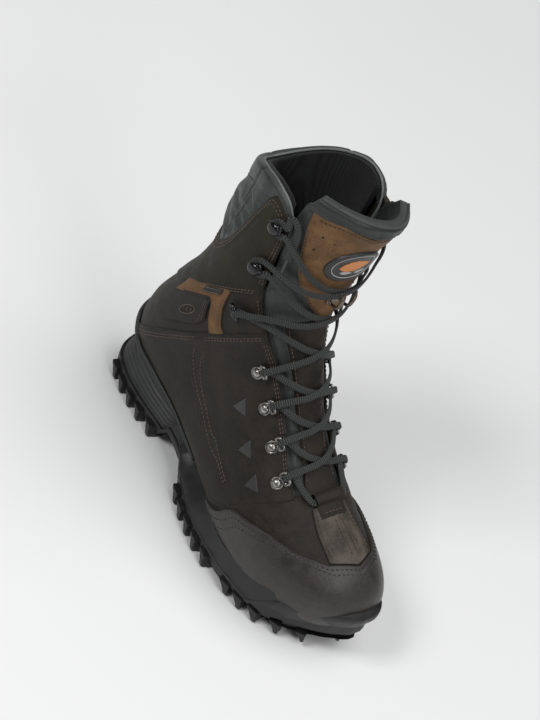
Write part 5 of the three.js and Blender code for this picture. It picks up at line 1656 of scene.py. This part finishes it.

# A rolled tube along the collar's inner edge. Its light grey is a painted highlight on that edge, much lighter than
# the grey leather around it.
piping = Bag()
th = np.linspace(80, 280, 160)
down = np.linspace(17.3, 18.8, 24)
edge_t = np.concatenate([down, rim(th) - .01, down[::-1]])
edge_th = np.concatenate([collar_front(down) + .3, th, 359.7 - collar_front(down[::-1])])
edge_line = np.stack([edge_t, edge_th], -1)
for _ in range(3):
    edge_line[1:-1] = (edge_line[:-2] + 2 * edge_line[1:-1] + edge_line[2:]) / 4
tube(piping, on(edge_line[:, 0], edge_line[:, 1], np.full(len(edge_line), -4.2)), 1.0, 8)
piping.make("collar_piping", plain("piping_grey", (.09, .094, .094), (.17, .175, .175), (.5, .7), 1.0, .1),
            "grey_leather", "boot")

# Lining, one thick layer from the toe to the rim
liner = Bag()
LINER_ROWS = [.3, 1.2, 2.2, 3.4, 4.7, 5.9, 6.25, 7.4, 8.5, 9.6, 10.7, 11.5, 12.1, 12.7, 13.4, 14.2, 15, 16.3,
              17.6, 19]


def liner_place(u, v):
    guess = np.interp(u * (len(LINER_ROWS) - 1), np.arange(len(LINER_ROWS)), LINER_ROWS)
    opening = np.where(guess < 6.2, 1, facing(guess) + 9)
    th = between(opening, 360 - opening, v)
    top = rim(th) - .02
    return np.where(guess > 15, between(15, top, (guess - 15) / 4), guess), th


slab(liner, liner_place, LINER_IN, LINER_OUT, step=2.4, rounds=(0, 1.8, 0, 0))
flexing(liner.make("boot_lining", LINING, "lining_fabric", replaces=("liner",)))
bed = Bag()
slab(bed, lambda u, v: (between(1.5, 11.6, u), between(153, 207, v)), LINER_IN - 5.2, LINER_IN - 1.2,
     step=2.2, rounds=(2, 2, 1.5, 1.5),
     shape=lambda u, v, t, th, edge: .35 * np.sin(t * 12) * np.sin(th / 2.2))
flexing(bed.make("removable_footbed", FELT, "footbed_felt", replaces=("footbed",)))

board = Bag()


def board_place(u, v):
    t = between(1.4, 12, u)
    return t, between(lasted_at(t) + 3, 357 - lasted_at(t), v)


slab(board, board_place, -3.4, -1.4, step=2.2, rounds=(.6, .6, .6, .6))
flexing(board.make("insole_board_flexing",
                   plain("insole_fibre", (.075, .06, .042), (.12, .098, .07), (.8, .95), 1.5, .12),
                   "insole_board",
                   replaces=("insole_board",)))

# ------------------------------------------------------------------ lacing hardware

def ribbon(bag, f, spine, widths, thick, slot=0):
    """A bent metal strip with softened edges."""
    spine = np.asarray(spine, float)
    slope = unit(np.gradient(spine, axis=0))
    widths = np.broadcast_to(widths, (len(spine),))
    strip_edge = np.array([[-.5, -.25], [-.5, .25], [-.45, .42], [-.38, .5], [.38, .5], [.45, .42],
                           [.5, .25], [.5, -.25], [.38, -.5], [-.38, -.5]])
    loops = []
    for (pa, pn), (sa, sn), breadth in zip(spine, slope, widths):
        loops.append([local(f, pa - sn * kt * thick, kb * breadth, pn + sa * kt * thick)
                      for kb, kt in strip_edge])
    loops = np.array(loops)
    loops = np.concatenate([np.repeat(loops[:1].mean(1, keepdims=True), 10, 1), loops,
                            np.repeat(loops[-1:].mean(1, keepdims=True), 10, 1)])
    flat = loops.reshape(-1, 3)
    bag.add(flat, orient(flat, grid_faces(len(loops), 10, loop=True)), slot=slot)


def lathe(bag, f, pa, pb, outline_rh, sides=28, slot=0, squash=(1, 1)):
    angle = np.arange(sides) * 2 * math.pi / sides
    loops = np.array([local(f, pa + r * np.cos(angle) * squash[0], pb + r * np.sin(angle) * squash[1],
                            np.full(sides, h)) for r, h in outline_rh])
    flat = loops.reshape(-1, 3)
    bag.add(flat, orient(flat, grid_faces(len(loops), sides, loop=True)), slot=slot)


for side, tag in ((-1, "lateral"), (1, "medial")):
    for k, (t, th) in enumerate(RINGS):
        f = frame_at(t, side * th)
        ring = Bag()
        lathe(ring, f, 0, 0, [(0, .05), (4.3, .05), (4.9, .25), (5.05, .7), (4.8, 1.15), (4.3, 1.3),
                              (3.9, 1.15), (3.5, 1.0), (0, 1.0)])
        ribbon(ring, f, [[1, .85], [3.4, .85], [4.6, 1.0], [5.2, 1.1], [5.9, 1.0], [6.6, .7]],
               [5, 5.6, 6.0, 7.4, 7.2, 6], 1.0)
        span = RING_SPAN / 2
        hoop = smooth_line([[RING_REACH - 4.6, .6, 1.2], [RING_REACH - 4, span * .8, 1.35],
                            [RING_REACH - 2, span, 2.4],
                            [RING_REACH, span * .86, BAR_LIFT], [RING_REACH, 0, BAR_LIFT],
                            [RING_REACH, -span * .86, BAR_LIFT],
                            [RING_REACH - 2, -span, 2.4], [RING_REACH - 4, -span * .8, 1.35],
                            [RING_REACH - 4.6, -.6, 1.2]], 6)
        tube(ring, local(f, hoop[:, 0], hoop[:, 1], hoop[:, 2]), RING_WIRE, 10)
        for ear in (-1, 1):
            lathe(ring, f, RING_REACH - 3.1, ear * 3.9,
                  [(0, .6), (1.9, .6), (2.0, 1.6), (1.7, 2.3), (1.0, 2.6), (0, 2.65)], 16)
        ring.make(f"lace_ring_{tag}_{k + 1}_fine", GUNMETAL, "ring_metal", "boot",
                  (f"lace_ring_{tag}_{k + 1}",))
        rivet = Bag()
        lathe(rivet, f, 0, 0, [(0, .9), (3.3, .9), (3.5, 1.2), (3.42, 1.7), (3.05, 2.3), (2.4, 2.85),
                               (1.5, 3.25), (.7, 3.42), (0, 3.45)], 28)
        rivet.make(f"ring_rivet_{tag}_{k + 1}_fine", SILVER, "rivet_metal", "boot",
                   (f"ring_rivet_{tag}_{k + 1}",))
    rise = PLATE_TOP + HOOK_SEAT + LACE_THICK + .9 + HOOK_PLATE / 2
    for k, (t, th) in enumerate(HOOKS):
        f = frame_at(t, side * th)
        hook = Bag()
        ribbon(hook, f, [[-8.2, .95], [-7, .95], [-4.5, .95], [-1, .95], [3.5, .95], [5.4, .95], [6.4, .9]],
               [.8, 2.6, 6.2, 9.4, 9.4, 8.6, 6], .95)
        spine = smooth_line([[3.5, 1.0], [5.6, 1.2], [6.7, rise / 2], [6.2, rise - .8], [4.4, rise + .3],
                             [1.5, rise + .45], [-2, rise + .05],
                              [-4.2, rise + .8]], 5)
        ribbon(hook, f, spine, np.interp(np.linspace(0, 1, len(spine)), [0, .35, .55, .8, .93, 1],
                                         [6.5, 7, 8, 7.6, 5.4, 2]), HOOK_PLATE)
        lathe(hook, f, 1.6, 0, [(0, rise + .2), (4.6, rise + .7), (5.0, rise + 1.2), (4.7, rise + 2.0),
                                (3.7, rise + 2.9),
                                  (2.1, rise + 3.5), (0, rise + 3.7)], 32, squash=(1.12, 1))
        lathe(hook, f, -3.4, 0, [(0, .9), (2.1, 1.0), (2.15, 1.3), (1.7, 1.9), (1.0, 2.2), (0, 2.3)], 24)
        hook.make(f"lace_hook_{tag}_{k + 1}_fine", BLACKED, "hook_metal", "boot",
                  (f"lace_hook_{tag}_{k + 1}",))
    f = frame_at(LOOP[0], side * LOOP[1])
    corners = [[-4, 0, .9], [-3.6, 4.4, .95], [-1.4, 6, 1.6], [1.5, 5.6, BAR_LIFT], [2.4, 0, BAR_LIFT + .3],
               [1.5, -5.6, BAR_LIFT],
              [-1.4, -6, 1.6], [-3.6, -4.4, .95]]
    ring_line = smooth_line(corners[-1:] + corners + corners[:2], 8)[8:-8][:-1]
    loop = Bag()
    tube(loop, local(f, ring_line[:, 0], ring_line[:, 1], ring_line[:, 2] + LOOP_WIRE + FIT - .8 + OVER_FIT),
         LOOP_WIRE, 12, closed=True)
    loop.make(f"ankle_loop_{tag}_fine", BLACKED, "ring_metal", "boot", (f"ankle_loop_{tag}",))

keeper = Bag()
f = frame_at(KEEPER_T, .01)
f["centre"] = lean(f["centre"], KEEPER_T)
low = PATCH_FACE + OVER_FIT
plate_frame = dict(f, centre=local(f, 0, -11.5, 0))
ribbon(keeper, plate_frame,
       [[-7.6, low + .3], [-6.8, low + .45], [-3, low + .5], [3, low + .5], [6.8, low + .45],
        [7.6, low + .3]],
       [2.6, 4.4, 5.0, 5.0, 4.4, 2.6], 1.0)
for k in (-1, 1):
    prong = smooth_line([[k * 5, -11.5, low + .5], [k * 5.2, -11.3, low + 5], [k * 5.4, -8.4, low + 9.6],
                         [k * 5.5, 0, low + 11], [k * 5.2, 7, low + 9.6]], 8)
    line = local(f, prong[:, 0], prong[:, 1], prong[:, 2])
    tube(keeper, line, np.interp(np.linspace(0, 1, len(line)), [0, .1, .85, 1], [1.5, 1.3, 1.3, .8]), 10)
keeper.make("lace_keeper_fine", BRONZED, "keeper_metal", "tongue_flap", ("lace_keeper",))

tag_bag = Bag()
slab(tag_bag, lambda u, v: (between(14.7, 14.95, u), -between(84.3, 98.5, v)), 1.5, 2.9, step=.6,
     rounds=(.4, .4, .4, .4))
for edge_t in (14.735, 14.915):
    slab(tag_bag, lambda u, v: (edge_t + (u - .5) * .03, -between(85.5, 97.5, v)), 2.6, 3.0, step=.6,
         rounds=(0, 0, 0, 0), slot=1)
tag_bag.make("woven_side_tag", [TAG, thread("tag_border", (.09, .085, .05))], "tag_fabric", "boot",
             ("side_tag_lateral",))


# ------------------------------------------------------------------ lace, along the route of the CAD model
def half_lace(first):
    out = []

    def put(point, facing_way, side_way):
        out.append((np.asarray(point, float), facing_way, side_way))

    stops = [("ring", *r) for r in RINGS] + [("loop", *LOOP)] + [("hook", *h) for h in HOOKS]

    def turn_ring(f, reach, bar, gauge):
        r = LACE_THICK / 2 + gauge + .3
        for pa, pb, pn in ((reach + 4, -.8, bar - r + .1), (reach, -.8, bar - r),
                           (reach - r * .8, -.3, bar - r * .6), (reach - r, 0, bar),
                           (reach - r * .8, .3, bar + r * .6), (reach, .8, bar + r),
                           (reach + 4, .8, bar + r * .75)):
            put(local(f, pa, pb, pn), None, f["b"])

    def turn_hook(f):
        wide = HOOK_WIDTH / 2 + LACE_WIDTH / 2 + .6
        h = PLATE_TOP + LACE_THICK / 2 + HOOK_SEAT
        for pa, pb, pn in ((11, -wide + 1, h - .3), (5, -wide, h), (1.5, -wide * .85, h + .35),
                           (-.4, -wide * .45, h + .5), (-1, 0, h + .5),
                           (-.4, wide * .45, h + .5), (1.5, wide * .85, h + .35), (5, wide, h),
                           (11, wide - 1, h - .3)):
            put(local(f, pa, pb, pn), f["n"], None)

    side = first
    here = (None, TAB_T, 0)
    start = frame_at(TAB_T, first * 7)
    put(local(frame_at(TAB_T, first * .01), 0, 0, TAB_LIFT), start["n"], None)
    put(local(start, 0, 0, TAB_LIFT), start["n"], None)
    out_frame = frame_at(TAB_T, first * 16)
    put(local(out_frame, 0, 0, TAB_LIFT), out_frame["n"], None)
    for k, stop in enumerate(stops):
        kind, t1, th1 = stop
        f = frame_at(t1, side * th1)
        if k:
            over = (k % 2 == 0) == (first > 0)
            a1 = side * (th1 - (11 if kind == "loop" else 15))
            a0 = -side * (here[2] - (11 if here[0] == "loop" else 15))
            steps = 9 if k > 4 else 6
            for i in range(1, steps):
                s = i / steps
                mid = math.sin(math.pi * s)
                t = between(here[1] + .12, t1 - .12, s) - SAG[k] * mid
                th = between(a0, a1, s)
                on_flap = min(t - TONGUE_SPLIT, 1) if t > TONGUE_SPLIT else 0
                lift = CROSS_LOW + (CROSS_RISE * mid if over else 0) + .9 * on_flap + 2.2 * (1 - mid) ** 2
                spot = on(t, th, lift)
                put(lean(spot, t) if t > TONGUE_SPLIT else spot, outward(t, th), None)
        if kind == "ring":
            turn_ring(f, RING_REACH, BAR_LIFT, RING_WIRE)
        elif kind == "loop":
            turn_ring(f, 2.3, BAR_LIFT + .3 + LOOP_WIRE + FIT - .8 + OVER_FIT, LOOP_WIRE)
        else:
            turn_hook(f)
        here = stop
        side = -side
    side = -side
    for t, back, lift in ((18.6, 13, 3.2), (18.5, 18, 3.0), (18.1, 20.5, 2.6), (17.5, 21, 2.4),
                          (16.9, 20.5, 2.4)):
        th = side * (facing(t) - back + 10)
        put(lean(on(t, th, lift), t), outward(t, th), None)
    return out


def lace_line(stations):
    points = np.array([s[0] for s in stations])
    across = []
    last = None
    for i, (p, n_, a_) in enumerate(stations):
        along = unit(points[min(i + 1, len(points) - 1)] - points[max(i - 1, 0)])
        a = a_ if a_ is not None else np.cross(n_, along)
        a = unit(a - along * (a @ along))
        if last is not None and a @ last < 0:
            a = -a
        last = a
        across.append(a)
    return points, np.array(across)


lace = Bag()
left, right_half = half_lace(-1), half_lace(1)
lp, la = lace_line(left[1:][::-1] + right_half)
fine_p, fine_a = smooth_line(lp, 7), unit(smooth_line(la, 7))
W, H = LACE_WIDTH / 2, LACE_THICK / 2
flat_profile = [[-W, 0], [-W * .93, H * .5], [-W * .72, H * .86], [-W * .35, H], [0, H * .97], [W * .35, H],
                [W * .72, H * .86], [W * .93, H * .5],
                [W, 0], [W * .93, -H * .5], [W * .72, -H * .86], [W * .35, -H], [0, -H * .97],
                [-W * .35, -H], [-W * .72, -H * .86], [-W * .93, -H * .5]]
tube(lace, fine_p, 1.0, across=fine_a, profile=flat_profile)
lace.uv[-1][:, 1] = np.tile(np.array(flat_profile)[:, 0] + 10, len(fine_p) + 2)
LACE_LENGTH = float(np.linalg.norm(np.diff(fine_p, axis=0), axis=1).sum())
print("lace route", round(LACE_LENGTH, 1), "mm")
for end, step_back in ((0, 1), (-1, -2)):
    tip, along = fine_p[end], unit(fine_p[end] - fine_p[step_back])
    s = np.array([-.5, 0, .6, 1.5, 4, 9, 14, AGLET_LENGTH - .6, AGLET_LENGTH])
    r = np.array([1.6, 1.75, 1.7, 1.5, 1.42, 1.4, 1.4, 1.3, .7])
    tube(lace, tip + along * s[:, None], r, 12, slot=1)
lace_piece = lace.make("boot_lace",
                       [LACE, plain("lace_tip", (.015, .015, .016), (.03, .03, .031), (.25, .4), 2, .05)],
                       "lace_braid", replaces=("lace",))
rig.blend(lace_piece, "boot", "tongue_flap", start=TONGUE_START, end=TONGUE_STOP)

# ------------------------------------------------------------------ threads
flexing(dark_threads.make("rand_stitching", DARK_THREAD, "brown_leather"))
flexing(front_threads.make("vamp_strip_stitching", THREAD, "brown_leather"))
rear_threads.make("upper_stitching", THREAD, "brown_leather", "boot")
flap_threads.make("tongue_patch_stitching", DARK_THREAD, "brown_leather", "tongue_flap")
grey_threads_boot.make("collar_stitching", GREY_THREAD, "grey_leather", "boot")
grey_threads.make("tongue_top_stitching", GREY_THREAD, "grey_leather", "tongue_flap")

# ------------------------------------------------------------------ CAD nodes kept inside the boot
KEPT = {
    "shank": metal("shank_steel", (.2, .21, .22), (.35, .36, .38), (.25, .4), local=False),
    "toe_puff": plain("toe_stiffener", (.25, .21, .15), (.36, .31, .23), (.7, .9), 1.2, .2, local=False),
    "heel_counter": plain("heel_stiffener", (.2, .17, .13), (.3, .26, .2), (.7, .9), 1.2, .2, local=False),
}
for name, material in KEPT.items():
    for place in frame["nodes"][name].material_slots:
        place.material = material

json.dump({"cad": cad_box, "visual": [list(corner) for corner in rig.bounds()]},
          open("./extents.json", "w"))
